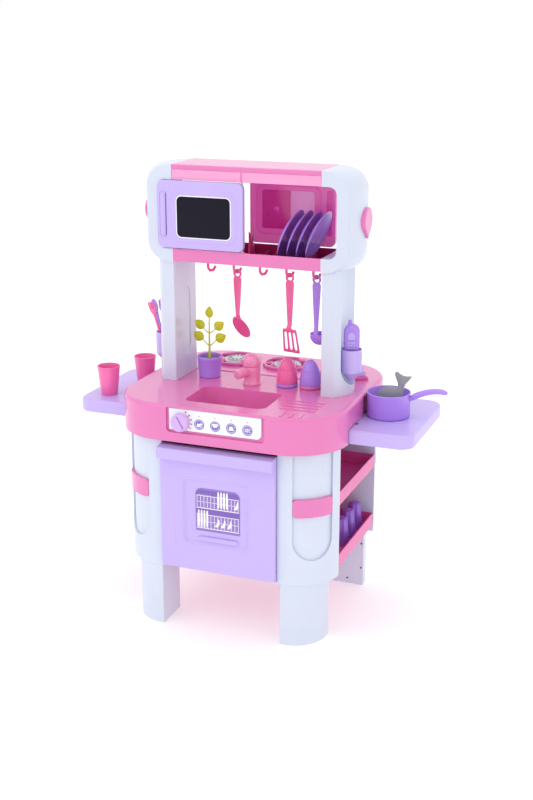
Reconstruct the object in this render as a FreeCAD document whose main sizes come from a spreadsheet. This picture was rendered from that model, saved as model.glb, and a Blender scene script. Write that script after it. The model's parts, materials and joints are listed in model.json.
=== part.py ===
"""Toy kitchen: a two-sided play kitchen with a sink side and a hob side.

Frame: millimetres, +Z up, origin on the floor at the middle of the kitchen, sink side facing -Y.
Most of it is the same when turned half a turn about Z, so the hob side (+Y) repeats the sink side.
The two side flaps are mirror images of each other across the YZ plane.
"""
import FreeCAD, Part
import math
import os

import Sketcher

Vec = FreeCAD.Vector
Turn = FreeCAD.Rotation

# Driving dimensions, in millimetres. Each becomes a named cell of the spreadsheet.
DIMS = {
    "wall": 3, "skin": 2, "clearance": 0.3, "half_bore": 0.05,
    "counter_half_width": 255, "counter_half_depth": 237, "counter_top": 520, "counter_bottom": 441,
    "counter_round": 120, "counter_side_wall": 13,
    "band_half_depth": 57, "band_half_width": 168, "band_depth": 1.5,
    "sink_half_width": 92, "sink_front": -191, "sink_back": -71, "sink_depth": 50,
    "panel_half_width": 104, "panel_bottom": 469, "panel_top": 515, "panel_face": -236, "panel_thick": 4,
    "knob_x": -76, "knob_z": 488, "knob_radius": 16.5, "spindle_radius": 4,
    "leg_inner": 132.5, "leg_outer": 242, "leg_front": 219, "leg_back": 130, "leg_round": 97,
    "foot_inner": 138, "foot_outer": 220, "foot_front": 216, "foot_round": 75, "foot_height": 142,
    "recess_depth": 5, "recess_width": 90, "recess_bottom": 199,
    "insert_bottom": 299, "insert_top": 339,
    "casing_front": 203, "casing_bottom": 150, "casing_top": 441,
    "door_half_width": 131.5, "door_front": -229, "door_thick": 14, "door_bottom": 148, "door_top": 430,
    "door_axis_y": -213, "door_axis_z": 155, "door_pin_radius": 2.5,
    "shelf_outer": 241, "shelf_half_length": 129.5, "shelf_height": 30, "shelf_low": 160, "shelf_high": 305,
    "flap_outer": 390, "flap_front": -120, "flap_back": 158, "flap_bottom": 442, "flap_thick": 30,
    "flap_inner": 247, "flap_round": 32, "flap_axis_x": 251.5, "flap_axis_z": 446, "flap_pin_radius": 2,
    "column_inner": 170, "column_half_depth": 57, "column_bulge": 75.5, "column_centre": 150.5,
    "column_top": 805,
    "pocket_x": 220.5, "pocket_radius": 23, "pocket_top": 616, "pocket_shoulder": 566, "pocket_tip": 545,
    "channel_radius": 80, "channel_x": 277, "channel_half_width": 45, "channel_bottom": 537,
    "cap_inner": 169, "cap_outer": 246, "cap_half_depth": 64, "cap_bottom": 788, "cap_round": 45,
    "cap_bulge": 116, "cap_centre": 130, "opening_half_width": 203, "opening_bottom": 819, "opening_top": 968,
    "cabinet_top": 1000, "fascia_split": 990, "fascia_bottom": 968, "rail_top": 819, "rail_bottom": 792,
    "grip_radius": 27, "grip_z": 895,
    "small_door_width": 198, "small_door_bottom": 821.5, "small_door_top": 966.5,
    "small_door_front": -71, "small_door_thick": 11, "small_axis_y": -59, "small_pin_radius": 2,
    "front_door_right": -2, "rear_door_left": -38, "barrel_end": 16,
    "hook_pitch": 62, "hook_y": 22, "hook_radius": 10, "wire_radius": 3, "hook_centre_z": 767.5,
    "ring_radius": 6.5, "eye_play": 0.6, "handle_thick": 4, "swing_turn": -30, "tool_turn": -12,
    "plate_radius": 57.5, "plate_foot": 36, "plate_depth": 9, "plate_pitch": 21, "plate_lean": 22.5,
    "cup_top_radius": 26, "cup_foot_radius": 19, "cup_height": 66.5,
    "pan_radius": 47, "pan_height": 54, "pan_x": 303, "pan_y": 11,
    "pot_top_radius": 28, "pot_foot_radius": 24, "pot_height": 48,
    "tap_x": -4, "tap_y": -17, "tap_radius": 20, "tap_height": 62, "spout_reach": 50, "spout_radius": 10.5,
    "spout_turn": 20,
    "shaker_radius": 24, "shaker_height": 63.5,
    "burner_radius": 34, "support_radius": 58, "hob_y": 150, "hob_left": -108, "hob_right": 17,
    "beaker_top_radius": 20, "beaker_foot_radius": 14, "beaker_height": 62,
}

doc = FreeCAD.newDocument("toy_kitchen")
sheet = doc.addObject("Spreadsheet::Sheet", "dims")
for row, (alias, value) in enumerate(DIMS.items(), start=1):
    sheet.set(f"A{row}", str(value))
    sheet.setAlias(f"A{row}", alias)
doc.recompute()

nodes = []


# ---------------------------------------------------------------- helpers

def cells(text):
    """Turn bare cell names in an expression into references to the spreadsheet."""
    words = str(text).replace("(", " ( ").replace(")", " ) ").split()
    return " ".join(f"dims.{word}" if word.lstrip("-") in DIMS and word[0] != "-"
                    else f"-dims.{word[1:]}" if word.lstrip("-") in DIMS
                    else word for word in words)


def bind(obj, prop, text):
    obj.setExpression(prop, cells(text))


def locate(obj, x=0, y=0, z=0):
    for axis, text in zip("xyz", (x, y, z)):
        bind(obj, f"Placement.Base.{axis}", text)
    return obj


def keep(obj, label, half_turn=False):
    """Give a finished sub-part its label, and turn it to the other side if it belongs there."""
    obj.Label = label
    if half_turn:
        obj.Placement = FreeCAD.Placement(Vec(), Turn(Vec(0, 0, 1), 180)).multiply(obj.Placement)
    nodes.append(obj)
    return obj


def block(x, y, z):
    """A box given by the low and high expression on each axis."""
    obj = doc.addObject("Part::Box", "block")
    for prop, (low, high) in zip(("Length", "Width", "Height"), (x, y, z)):
        bind(obj, prop, f"( {high} ) - ( {low} )")
    return locate(obj, x[0], y[0], z[0])


def rod(radius, length, x=0, y=0, z=0, along="Z"):
    obj = doc.addObject("Part::Cylinder", "rod")
    bind(obj, "Radius", radius)
    bind(obj, "Height", length)
    obj.Placement.Rotation = Turn(Vec(0, 0, 1), Vec(along == "X", along == "Y", along == "Z"))
    return locate(obj, x, y, z)


def cone(foot, top, length, x=0, y=0, z=0):
    obj = doc.addObject("Part::Cone", "cone")
    bind(obj, "Radius1", foot)
    bind(obj, "Radius2", top)
    bind(obj, "Height", length)
    return locate(obj, x, y, z)


def ball(radius, x=0, y=0, z=0):
    obj = doc.addObject("Part::Sphere", "ball")
    bind(obj, "Radius", radius)
    return locate(obj, x, y, z)


def ring(radius, thick, x=0, y=0, z=0):
    obj = doc.addObject("Part::Torus", "ring")
    bind(obj, "Radius1", radius)
    bind(obj, "Radius2", thick)
    return locate(obj, x, y, z)


def fuse(*shapes):
    obj = doc.addObject("Part::MultiFuse", "fused")
    obj.Shapes = list(shapes)
    return obj


def cut(base, *tools):
    obj = doc.addObject("Part::Cut", "cut")
    obj.Base = base
    obj.Tool = tools[0] if len(tools) == 1 else fuse(*tools)
    return obj


def common(*shapes):
    obj = doc.addObject("Part::MultiCommon", "shared")
    obj.Shapes = list(shapes)
    return obj


def turned(obj):
    """The same piece on the other side of the kitchen."""
    copy = doc.addObject("Part::Compound", "turned")
    copy.Links = [obj]
    copy.Placement.Rotation = Turn(Vec(0, 0, 1), 180)
    return copy


def edge_names(shape, test):
    return [f"Edge{i}" for i, edge in enumerate(shape.Edges, start=1) if test(edge)]


def soften(base, radius, test):
    """Round the edges of a finished boolean that pass the test."""
    doc.recompute()
    obj = doc.addObject("Part::Fillet", "softened")
    obj.Base = base
    picked = [i for i, edge in enumerate(base.Shape.Edges, start=1) if test(edge)]
    obj.Edges = [(i, radius, radius) for i in picked]
    return obj


def is_upright(edge):
    ends = [v.Point for v in edge.Vertexes]
    return len(ends) == 2 and (ends[0] - ends[1]).cross(Vec(0, 0, 1)).Length < 1e-6


def at_height(height):
    return lambda edge: abs(edge.BoundBox.ZMin - height) < 1e-4 and abs(edge.BoundBox.ZMax - height) < 1e-4


def outline(body, points, role="XY_Plane", offset=0):
    """A closed sketch whose corners are tied to the spreadsheet, one expression per coordinate."""
    sketch = body.newObject("Sketcher::SketchObject", "outline")
    plane = next(f for f in body.Origin.OriginFeatures if f.Role == role)
    sketch.AttachmentSupport = [(plane, "")]
    sketch.MapMode = "FlatFace"
    bind(sketch, "AttachmentOffset.Base.z", offset)
    count = len(points)
    corners = [Vec(math.cos(2 * math.pi * i / count), math.sin(2 * math.pi * i / count), 0)
               for i in range(count)]
    for i in range(count):
        sketch.addGeometry(Part.LineSegment(corners[i], corners[(i + 1) % count]), False)
    for i in range(count):
        sketch.addConstraint(Sketcher.Constraint("Coincident", i, 2, (i + 1) % count, 1))
    for i, (u, v) in enumerate(points):
        for kind, text in (("DistanceX", u), ("DistanceY", v)):
            index = sketch.addConstraint(Sketcher.Constraint(kind, i, 1, corners[i].x))
            bind(sketch, f"Constraints[{index}]", text)
    return sketch


def oblong(u, v):
    return [(u[0], v[0]), (u[1], v[0]), (u[1], v[1]), (u[0], v[1])]


def new_body():
    return doc.addObject("PartDesign::Body", "body")


def pad(body, points, length, role="XY_Plane", offset=0):
    feature = body.newObject("PartDesign::Pad", "pad")
    feature.Profile = outline(body, points, role, offset)
    bind(feature, "Length", length)
    doc.recompute()
    return feature


def pocket(body, points, length, role="XY_Plane", offset=0, reverse=False, taper=0):
    """Cut a pocket and make sure that it removed something."""
    before = body.Shape.Volume
    feature = body.newObject("PartDesign::Pocket", "pocket")
    feature.Profile = outline(body, points, role, offset)
    feature.Reversed = reverse
    bind(feature, "Length", length)
    feature.TaperAngle = taper
    doc.recompute()
    if body.Shape.Volume > before - 1e-3:
        raise RuntimeError("a pocket removed nothing")
    return feature


def rounded(body, radius, test):
    """Round the edges of the body's last feature that pass the test."""
    base = body.Tip
    feature = body.newObject("PartDesign::Fillet", "round")
    feature.Base = (base, edge_names(base.Shape, test))
    bind(feature, "Radius", radius)
    doc.recompute()
    return feature


def near(x=None, y=None, z=None, slack=1.0):
    """An edge test: its middle lies within slack of the stated coordinates."""
    def test(edge):
        middle = edge.BoundBox.Center
        wanted = ((middle.x, x), (middle.y, y), (middle.z, z))
        return all(value is None or abs(value_here - value) < slack for value_here, value in wanted)
    return test


def both(*tests):
    return lambda edge: all(test(edge) for test in tests)


# ---------------------------------------------------------------- feet and legs

def corner_outline(sx, sy, inner, outer, front, back):
    return oblong((f"{sx} * {inner}", f"{sx} * {outer}"), (f"{sy} * {front}", f"{sy} * {back}"))


def foot(sx, sy):
    """An open-bottomed shell with one large rounded corner, lower end of a leg."""
    body = new_body()
    pad(body, corner_outline(sx, sy, "foot_inner", "foot_outer", "foot_front", "leg_back"), "foot_height")
    corner = near(x=sx * DIMS["foot_outer"], y=sy * DIMS["foot_front"])
    rounded(body, "foot_round", both(is_upright, corner))
    base = body.Tip
    faces = [f"Face{i}" for i, face in enumerate(base.Shape.Faces, start=1)
             if abs(face.BoundBox.ZMax) < 1e-4]
    shell = body.newObject("PartDesign::Thickness", "shell")
    shell.Base = (base, faces)
    shell.Reversed = True
    shell.Join = 0
    bind(shell, "Value", "wall")
    doc.recompute()
    return body


def u_window(sx, sy, width, low, high):
    """The upright U-shaped slab that a leg's corner recess is cut with, pointing out of the corner."""
    reach = "leg_round + 20"
    slab = block(("0", reach), (f"-{width} / 2", f"{width} / 2"), (f"{low} + {width} / 2", high))
    end = rod(f"{width} / 2", reach, z=f"{low} + {width} / 2", along="X")
    return aim(fuse(slab, end), sx, sy)


def aim(obj, sx, sy):
    """Point a piece built along +X out of a leg's rounded corner."""
    angle = math.degrees(math.atan2(sy * math.sin(CORNER_TURN), sx * math.cos(CORNER_TURN)))
    obj.Placement.Rotation = Turn(Vec(0, 0, 1), angle)
    return locate(obj, f"{sx} * ( leg_outer - leg_round )", f"{sy} * ( leg_front - leg_round )")


def corner_post(sx, sy, radius):
    return rod(radius, "counter_bottom + 10", x=f"{sx} * ( leg_outer - leg_round )",
               y=f"{sy} * ( leg_front - leg_round )")


def leg(sx, sy):
    """A hollow tower with a large rounded corner and a U-shaped recess down it, open at the top."""
    form = common(leg_block(sx, sy, "0", "foot_height", "counter_bottom"), corner_post(sx, sy, "leg_round"))
    form = soften(form, 3, at_height(DIMS["foot_height"]))
    hollow = common(leg_block(sx, sy, "wall", "foot_height + wall", "counter_bottom + 1"),
                    corner_post(sx, sy, "leg_round - recess_depth - wall - 2"))
    window = u_window(sx, sy, "recess_width", "recess_bottom", "( counter_bottom + 5 )")
    channel = cut(window, corner_post(sx, sy, "leg_round - recess_depth"))
    pin = rod("door_pin_radius", "300", "-150", f"{-sy} * door_axis_y", "door_axis_z", "X")
    return cut(form, hollow, channel, pin)


def leg_block(sx, sy, inset, low, high):
    """The straight-sided block around a leg, inset on its two inner faces."""
    x = (f"leg_inner + {inset}", "leg_outer") if sx > 0 else ("-leg_outer", f"-leg_inner - {inset}")
    y = (f"leg_back + {inset}", "leg_front") if sy > 0 else ("-leg_front", f"-leg_back - {inset}")
    return block(x, y, (low, high))


def insert(sx, sy):
    """The curved bar set across a leg's recess."""
    bar = block(("0", "leg_round + 20"), ("-recess_width / 2 + clearance", "recess_width / 2 - clearance"),
                ("insert_bottom", "insert_top"))
    bar = soften(bar, 8, lambda edge: abs(edge.BoundBox.XLength) > 50)
    aim(bar, sx, sy)
    doc.recompute()
    return cut(common(bar, corner_post(sx, sy, "leg_round + 2")),
               corner_post(sx, sy, "leg_round - recess_depth"))


CORNER_TURN = math.radians(50)
CORNERS = {"front_left": (-1, -1), "front_right": (1, -1), "rear_left": (-1, 1), "rear_right": (1, 1)}


def build_supports():
    keep(fuse(*[foot(sx, sy) for sx, sy in CORNERS.values()]), "feet")
    for name, (sx, sy) in CORNERS.items():
        keep(leg(sx, sy), f"leg_{name}")
    keep(fuse(*[insert(sx, sy) for sx, sy in CORNERS.values()]), "leg_inserts")


# ---------------------------------------------------------------- counter

def mirrored(points):
    """The same outline on the left of the kitchen."""
    return [(f"- ( {u} )", v) for u, v in points]


def countertop():
    body = new_body()
    side = ("-counter_half_width", "counter_half_width")
    pad(body, oblong(side, ("-counter_half_depth", "counter_half_depth")),
        "counter_top - counter_bottom", offset="counter_bottom")
    rounded(body, "counter_round", is_upright)
    rounded(body, "8", at_height(DIMS["counter_top"]))
    pocket(body, oblong(("-sink_half_width", "sink_half_width"), ("sink_front", "sink_back")),
           "sink_depth", offset="counter_top")
    sink = both(is_upright, lambda edge: abs(abs(edge.BoundBox.Center.x) - DIMS["sink_half_width"]) < 0.5)
    rounded(body, "18", sink)
    floor = DIMS["counter_top"] - DIMS["sink_depth"]
    rounded(body, "10", at_height(floor))
    band = oblong(("-band_half_width", "band_half_width"), ("-band_half_depth", "band_half_depth"))
    pocket(body, band, "band_depth", offset="counter_top")
    for far_side in (False, True):
        pick = mirrored if far_side else list
        pocket(body, pick(oblong(("flap_inner - 1.5", "counter_half_width + 5"),
                                 ("flap_front - 2", "flap_back + 2"))),
               "flap_bottom + flap_thick + 2 - counter_bottom", offset="counter_bottom", reverse=True)
        pocket(body, pick(oblong(("flap_inner", "counter_half_width + 5"), ("-18", "20"))),
               "counter_top - 5 - flap_bottom - flap_thick", offset="counter_top - 5")
        for lug in FLAP_LUGS:
            pad(body, pick(oblong(("flap_inner - 3", "flap_axis_x + 5"), (f"{lug} - 6", f"{lug} + 6"))),
                "10", offset="flap_axis_z - 5")
        frame = oblong(("-panel_half_width - 7", "panel_half_width + 7"),
                       ("panel_bottom - 7", "panel_top + 1"))
        if far_side:
            pocket(body, frame, "10", role="XZ_Plane", offset="-counter_half_depth - 5", reverse=True)
        else:
            pocket(body, frame, "10", role="XZ_Plane", offset="counter_half_depth + 5")
    corners = both(near(z=DIMS["panel_bottom"] - 7, slack=0.5),
                   lambda edge: edge.BoundBox.YLength > 4 and edge.BoundBox.XLength < 0.1)
    rounded(body, "9", corners)
    ridge = pad(body, oblong(("118", "198"), ("-111", "-106")), "2", offset="counter_top - 0.5")
    row = body.newObject("PartDesign::LinearPattern", "drainer")
    row.Originals = [ridge]
    row.Direction = (ridge.Profile[0], ["V_Axis"])
    row.Reversed = True
    row.Length = 60
    row.Occurrences = 4
    body.Tip = row
    doc.recompute()
    rib = pad(body, oblong(("137", "142"), ("-222", "-192")), "2", offset="counter_top - 0.5")
    ribs = body.newObject("PartDesign::LinearPattern", "drainer_ribs")
    ribs.Originals = [rib]
    ribs.Direction = (rib.Profile[0], ["H_Axis"])
    ribs.Length = 40
    ribs.Occurrences = 3
    body.Tip = ribs
    doc.recompute()
    return cut(body, cut(counter_hollow(), basin_shell()), flap_rod(1), flap_rod(-1))


def counter_hollow():
    """The space under the counter, with room left for nothing but the sink."""
    body = new_body()
    inner = "( counter_half_width - counter_side_wall )"
    deep = "( counter_half_depth - counter_side_wall )"
    pad(body, oblong((f"-1 * {inner}", inner), (f"-1 * {deep}", deep)),
        "counter_top - counter_bottom - 3.5", offset="counter_bottom - 1")
    rounded(body, "counter_round - counter_side_wall", is_upright)
    return body


def basin_shell():
    """The outside of the sink."""
    basin = block(("-sink_half_width - wall", "sink_half_width + wall"),
                  ("sink_front - wall", "sink_back + wall"),
                  ("counter_top - sink_depth - wall", "counter_top"))
    return soften(basin, 20, is_upright)


def control_panel():
    body = new_body()
    pad(body, oblong(("-panel_half_width", "panel_half_width"), ("panel_bottom", "panel_top")),
        "panel_thick", role="XZ_Plane", offset="-panel_face - panel_thick")
    corner = near(x=DIMS["panel_half_width"], z=DIMS["panel_bottom"], slack=0.5)
    rounded(body, "11", both(corner, lambda edge: edge.BoundBox.XLength < 0.1))
    return cut(body, rod("spindle_radius + half_bore", "20", "knob_x", "panel_face - 5", "knob_z", "Y"))


def control_knob():
    """A round knob with a raised grip, on a spindle that runs in the panel."""
    disc = rod("knob_radius", "10", "knob_x", "panel_face - 10.3", "knob_z", "Y")
    disc = soften(disc, 2, lambda edge: edge.BoundBox.YMax < DIMS["panel_face"] - 10)
    grip = block(("-knob_radius + 2", "knob_radius - 2"), ("0", "12"), ("-4", "4"))
    grip = soften(grip, 3, lambda edge: edge.BoundBox.YMax < 1)
    grip.Placement = FreeCAD.Placement(Vec(), Turn(Vec(0, 1, 0), 60))
    locate(grip, "knob_x", "panel_face - 20.3", "knob_z")
    spindle = rod("spindle_radius", "panel_thick + 0.7", "knob_x", "panel_face - 1", "knob_z", "Y")
    return fuse(disc, grip, spindle)


def build_counter():
    keep(countertop(), "countertop")
    keep(control_panel(), "control_panel_front")
    keep(control_panel(), "control_panel_rear", half_turn=True)
    keep(control_knob(), "control_knob_front")
    keep(control_knob(), "control_knob_rear", half_turn=True)


# ---------------------------------------------------------------- casing, doors, shelves

def casing():
    """The box between the legs: a dishwasher well on one side and an oven well on the other."""
    shell = block(("-leg_inner", "leg_inner"), ("-casing_front", "casing_front"),
                  ("casing_bottom", "casing_top"))
    inside = ("-leg_inner + wall", "leg_inner - wall")
    height = ("casing_bottom + wall", "casing_top - wall")
    front = block(inside, ("-casing_front - 1", "-wall / 2"), height)
    rear = block(inside, ("wall / 2", "casing_front + 1"), height)
    return cut(shell, front, rear)


def large_door():
    """A drop-down door with a framed window seat, a top grip bar and a pin bore along its foot."""
    body = new_body()
    side = [("door_front", "door_top"), ("door_front", "door_bottom"),
            ("door_axis_y + 7", "door_bottom"), ("door_axis_y + 7", "door_bottom + 14"),
            ("door_front + door_thick", "door_bottom + 20"), ("door_front + door_thick", "door_top")]
    slab = pad(body, side, "2 * door_half_width", role="YZ_Plane")
    slab.Midplane = True
    doc.recompute()
    foot_edge = lambda edge: edge.BoundBox.XLength > 200
    rounded(body, "5", both(foot_edge, near(y=DIMS["door_front"], z=DIMS["door_bottom"], slack=0.5)))
    rounded(body, "5.5", both(foot_edge, near(y=DIMS["door_axis_y"] + 7)))
    pocket(body, oblong(("-81", "73"), ("210", "361")), "3.5", role="XZ_Plane", offset="-door_front")
    frame = both(runs_short, lambda edge: 209 < edge.BoundBox.Center.z < 362)
    rounded(body, "14", both(frame, lambda edge: abs(edge.BoundBox.Center.x) < 85))
    grip = [("door_front + 2", "door_top"), ("door_front - 15", "door_top - 3"),
            ("door_front - 20", "door_top - 12"), ("door_front - 18", "door_top - 27"),
            ("door_front + 2", "door_top - 33")]
    bar = pad(body, grip, "2 * door_half_width", role="YZ_Plane")
    bar.Midplane = True
    doc.recompute()
    along = both(foot_edge, lambda edge: edge.BoundBox.YMax < DIMS["door_front"] - 10)
    rounded(body, "4", along)
    bore = rod("door_pin_radius + half_bore", "300", "-150", "door_axis_y", "door_axis_z", "X")
    return cut(body, bore)


def runs_short(edge):
    return 2 < edge.BoundBox.YLength < 5 and edge.BoundBox.XLength < 0.1 and edge.BoundBox.ZLength < 0.1


def door_window():
    """The window plate set in the door's frame, with a raised shelf line under it."""
    pane = block(("-66", "58"), ("door_front + 2", "door_front + 3.5"), ("238", "347"))
    return soften(pane, 8, lambda edge: edge.BoundBox.YLength > 0.5 and edge.BoundBox.XLength < 0.1)


def large_hinge_rod():
    return rod("door_pin_radius", "2 * door_half_width + 14", "-door_half_width - 7",
               "door_axis_y", "door_axis_z", "X")


def shelf(level):
    """An open-topped tray between a front leg and a rear leg."""
    outer = block(("leg_inner", "shelf_outer"), ("-shelf_half_length", "shelf_half_length"),
                  (level, f"{level} + shelf_height"))
    outer = soften(outer, 5, lambda edge: is_upright(edge) and edge.BoundBox.XMin > 200)
    inner = block(("leg_inner + wall", "shelf_outer - wall"),
                  ("-shelf_half_length + wall", "shelf_half_length - wall"),
                  (f"{level} + wall", f"{level} + shelf_height + 1"))
    return cut(outer, inner)


def build_middle():
    keep(casing(), "casing")
    for name, far_side in (("dishwasher", False), ("oven", True)):
        keep(large_door(), f"{name}_door", far_side)
        keep(door_window(), f"{name}_window", far_side)
    keep(fuse(large_hinge_rod(), turned(large_hinge_rod())), "door_hinge_rods")
    for height in ("low", "high"):
        place = "lower" if height == "low" else "upper"
        keep(shelf(f"shelf_{height}"), f"shelf_{place}_right")
        keep(shelf(f"shelf_{height}"), f"shelf_{place}_left", half_turn=True)


# ---------------------------------------------------------------- side flaps

FLAP_LUGS = ("-70", "100")


def flap(sy):
    """A fold-down side leaf, hollow underneath, with a solid bar along its hinge."""
    front, back = ("flap_front", "flap_back") if sy > 0 else ("-flap_back", "-flap_front")
    body = new_body()
    pad(body, oblong(("flap_inner", "flap_outer"), (front, back)), "flap_thick", offset="flap_bottom")
    rounded(body, "flap_round", both(is_upright, near(x=DIMS["flap_outer"])))
    rounded(body, "12", both(is_upright, near(x=DIMS["flap_inner"])))
    rounded(body, "6", both(at_height(DIMS["flap_bottom"] + DIMS["flap_thick"]),
                            lambda edge: edge.BoundBox.XMax > DIMS["flap_inner"] + 13))
    hollow = new_body()
    pad(hollow, oblong(("flap_axis_x + 12", "flap_outer - wall - 1"),
                       (f"{front} + wall + 1", f"{back} - wall - 1")),
        "flap_thick - wall + 1", offset="flap_bottom - 1")
    rounded(hollow, "flap_round - wall - 1", both(is_upright, near(x=DIMS["flap_outer"] - 4)))
    rounded(body, "3", both(at_height(DIMS["flap_bottom"]), near(x=DIMS["flap_inner"], slack=0.2)))
    notches = [block(("flap_inner - 5", "flap_axis_x + 9.5"), (f"{sy} * ( {lug} ) - 7", f"{sy} * ( {lug} ) + 7"),
                     ("flap_bottom - 5", "flap_bottom + flap_thick + 5")) for lug in FLAP_LUGS]
    bore = rod("flap_pin_radius + half_bore", "240", "flap_axis_x", "-120", "flap_axis_z", "Y")
    return cut(body, hollow, *notches, bore)


def flap_rod(sx):
    return rod("flap_pin_radius", "196", f"{sx} * flap_axis_x", "-83", "flap_axis_z", "Y")


def build_flaps():
    keep(flap(1), "flap_right")
    keep(flap(-1), "flap_left", half_turn=True)
    keep(fuse(flap_rod(1), flap_rod(-1)), "flap_hinge_rods")


# ---------------------------------------------------------------- columns and their pockets

def column():
    """A D-shaped post, hollow, with a round channel down its outer face."""
    depth = ("-column_half_depth", "column_half_depth")
    slab = block(("column_inner", "column_inner + 60"), depth, ("counter_top", "column_top"))
    post = rod("column_bulge", "column_top", "column_centre")
    form = soften(common(slab, post), 3, is_upright)
    hollow = block(("column_inner + wall", "column_inner + 23"),
                   ("-column_half_depth + wall", "column_half_depth - wall"),
                   ("counter_top - 5", "column_top + 5"))
    return cut(form, hollow, outer_channel(), slot_cut(), cap_form(0))


def outer_channel():
    """The wide shallow channel down a column's outer face, with a round lower end."""
    middle = "( channel_bottom + channel_half_width )"
    slab = block(("column_inner + 20", "channel_x"), ("-channel_half_width", "channel_half_width"),
                 (middle, "column_top"))
    end = rod("channel_half_width", "channel_x - column_inner - 20", "column_inner + 20", "0", middle, "X")
    return common(rod("channel_radius", "column_top", "channel_x"), fuse(slab, end))


def slot_cut():
    """The long shallow oval set in the column's inner face."""
    half = 24
    bar = block(("column_inner - 1", "column_inner + 1.6"), (f"-{half}", f"{half}"), ("592", "700"))
    low = rod(f"{half}", "2.6", "column_inner - 1", "0", "592", "X")
    high = rod(f"{half}", "2.6", "column_inner - 1", "0", "700", "X")
    return fuse(bar, low, high)


def column_pocket():
    """A round pot with a tapered foot, for small tools."""
    tube = rod("pocket_radius", "pocket_top - pocket_shoulder", "pocket_x", "0", "pocket_shoulder")
    foot_cone = cone("6", "pocket_radius", "pocket_shoulder - pocket_tip", "pocket_x", "0", "pocket_tip")
    hollow = rod("pocket_radius - skin", "60", "pocket_x", "0", "pocket_shoulder + skin")
    return cut(fuse(tube, foot_cone), hollow)


def build_columns():
    keep(column(), "column_right")
    keep(column(), "column_left", half_turn=True)
    keep(column_pocket(), "column_pocket_right")
    keep(column_pocket(), "column_pocket_left", half_turn=True)


# ---------------------------------------------------------------- cabinet

def cap_form(inset):
    """The rounded block that a cabinet end is made from, shrunk by an inset."""
    slab = block((f"cap_inner - {inset}", f"cap_outer - {inset}"),
                 (f"-cap_half_depth + {inset}", f"cap_half_depth - {inset}"),
                 (f"cap_bottom + {inset}", f"cabinet_top - {inset}"))
    form = common(slab, rod(f"cap_bulge - {inset}", "1100", "cap_centre"))
    rim = lambda edge: edge.BoundBox.YLength > 50 and 10 < edge.BoundBox.XLength < 50
    return soften(form, DIMS["cap_round"] - inset, rim)


def cabinet_end():
    """A white C-shaped end shell: closed outside, open to the cabinet between its two arms."""
    form = cap_form(0)
    mouth = block(("cap_inner - 5", "opening_half_width"), ("-cap_half_depth - 5", "cap_half_depth + 5"),
                  ("opening_bottom", "opening_top"))
    mouth = soften(mouth, 18, lambda edge: edge.BoundBox.YLength > 50 and edge.BoundBox.XMin > 190)
    hollow = cap_form(4)
    keepout = block(("cap_inner - 10", "opening_half_width + 4"),
                    ("-cap_half_depth - 5", "cap_half_depth + 5"),
                    ("opening_bottom - 4", "opening_top + 4"))
    return cut(form, mouth, cut(hollow, keepout))


def hinge_boss(x, sy, low, high):
    return rod("small_pin_radius + 3", f"( {high} ) - ( {low} )", x, f"{sy} * ( small_axis_y )", low)


def cabinet_top():
    """The top panel with its two-band fascia, hollow underneath."""
    wide = ("-cap_inner", "cap_inner")
    upper = block(wide, ("-cap_half_depth", "cap_half_depth"), ("fascia_split", "cabinet_top"))
    upper = soften(upper, 3, lambda edge: edge.BoundBox.XLength > 300 and edge.BoundBox.ZMin > 990)
    lower = block(wide, ("-cap_half_depth + 1.5", "cap_half_depth - 1.5"), ("fascia_bottom", "fascia_split"))
    inside = block(("-cap_inner + wall", "cap_inner - wall"), ("-cap_half_depth + 5", "cap_half_depth - 5"),
                   ("fascia_bottom - 1", "cabinet_top - wall"))
    shell = cut(fuse(upper, lower), inside)
    front = hinge_boss(FRONT_AXIS_X, 1, "fascia_bottom", "cabinet_top - 1")
    rear = hinge_boss(REAR_AXIS_X, -1, "fascia_bottom", "cabinet_top - 1")
    return cut(fuse(shell, front, rear), *pin_bores())


def pin_bores():
    return [small_hinge_pin(FRONT_AXIS_X, 1), small_hinge_pin(REAR_AXIS_X, -1)]


def cabinet_shelf():
    """The floor of the cabinet with its front and rear rails."""
    wide = ("-cap_inner", "cap_inner")
    slab = block(wide, ("-cap_half_depth", "cap_half_depth"), ("rail_bottom", "rail_top"))
    inside = block(("-cap_inner - 1", "cap_inner + 1"), ("-cap_half_depth + wall", "cap_half_depth - wall"),
                   ("rail_bottom + 4", "rail_top + 1"))
    front = hinge_boss(FRONT_AXIS_X, 1, "rail_bottom + 1", "rail_top + 1")
    rear = hinge_boss(REAR_AXIS_X, -1, "rail_bottom + 1", "rail_top + 1")
    return cut(fuse(cut(slab, inside), front, rear), *pin_bores())


FRONT_AXIS_X = "( front_door_right - 6 )"
REAR_AXIS_X = "( rear_door_left + 6 )"


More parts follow.
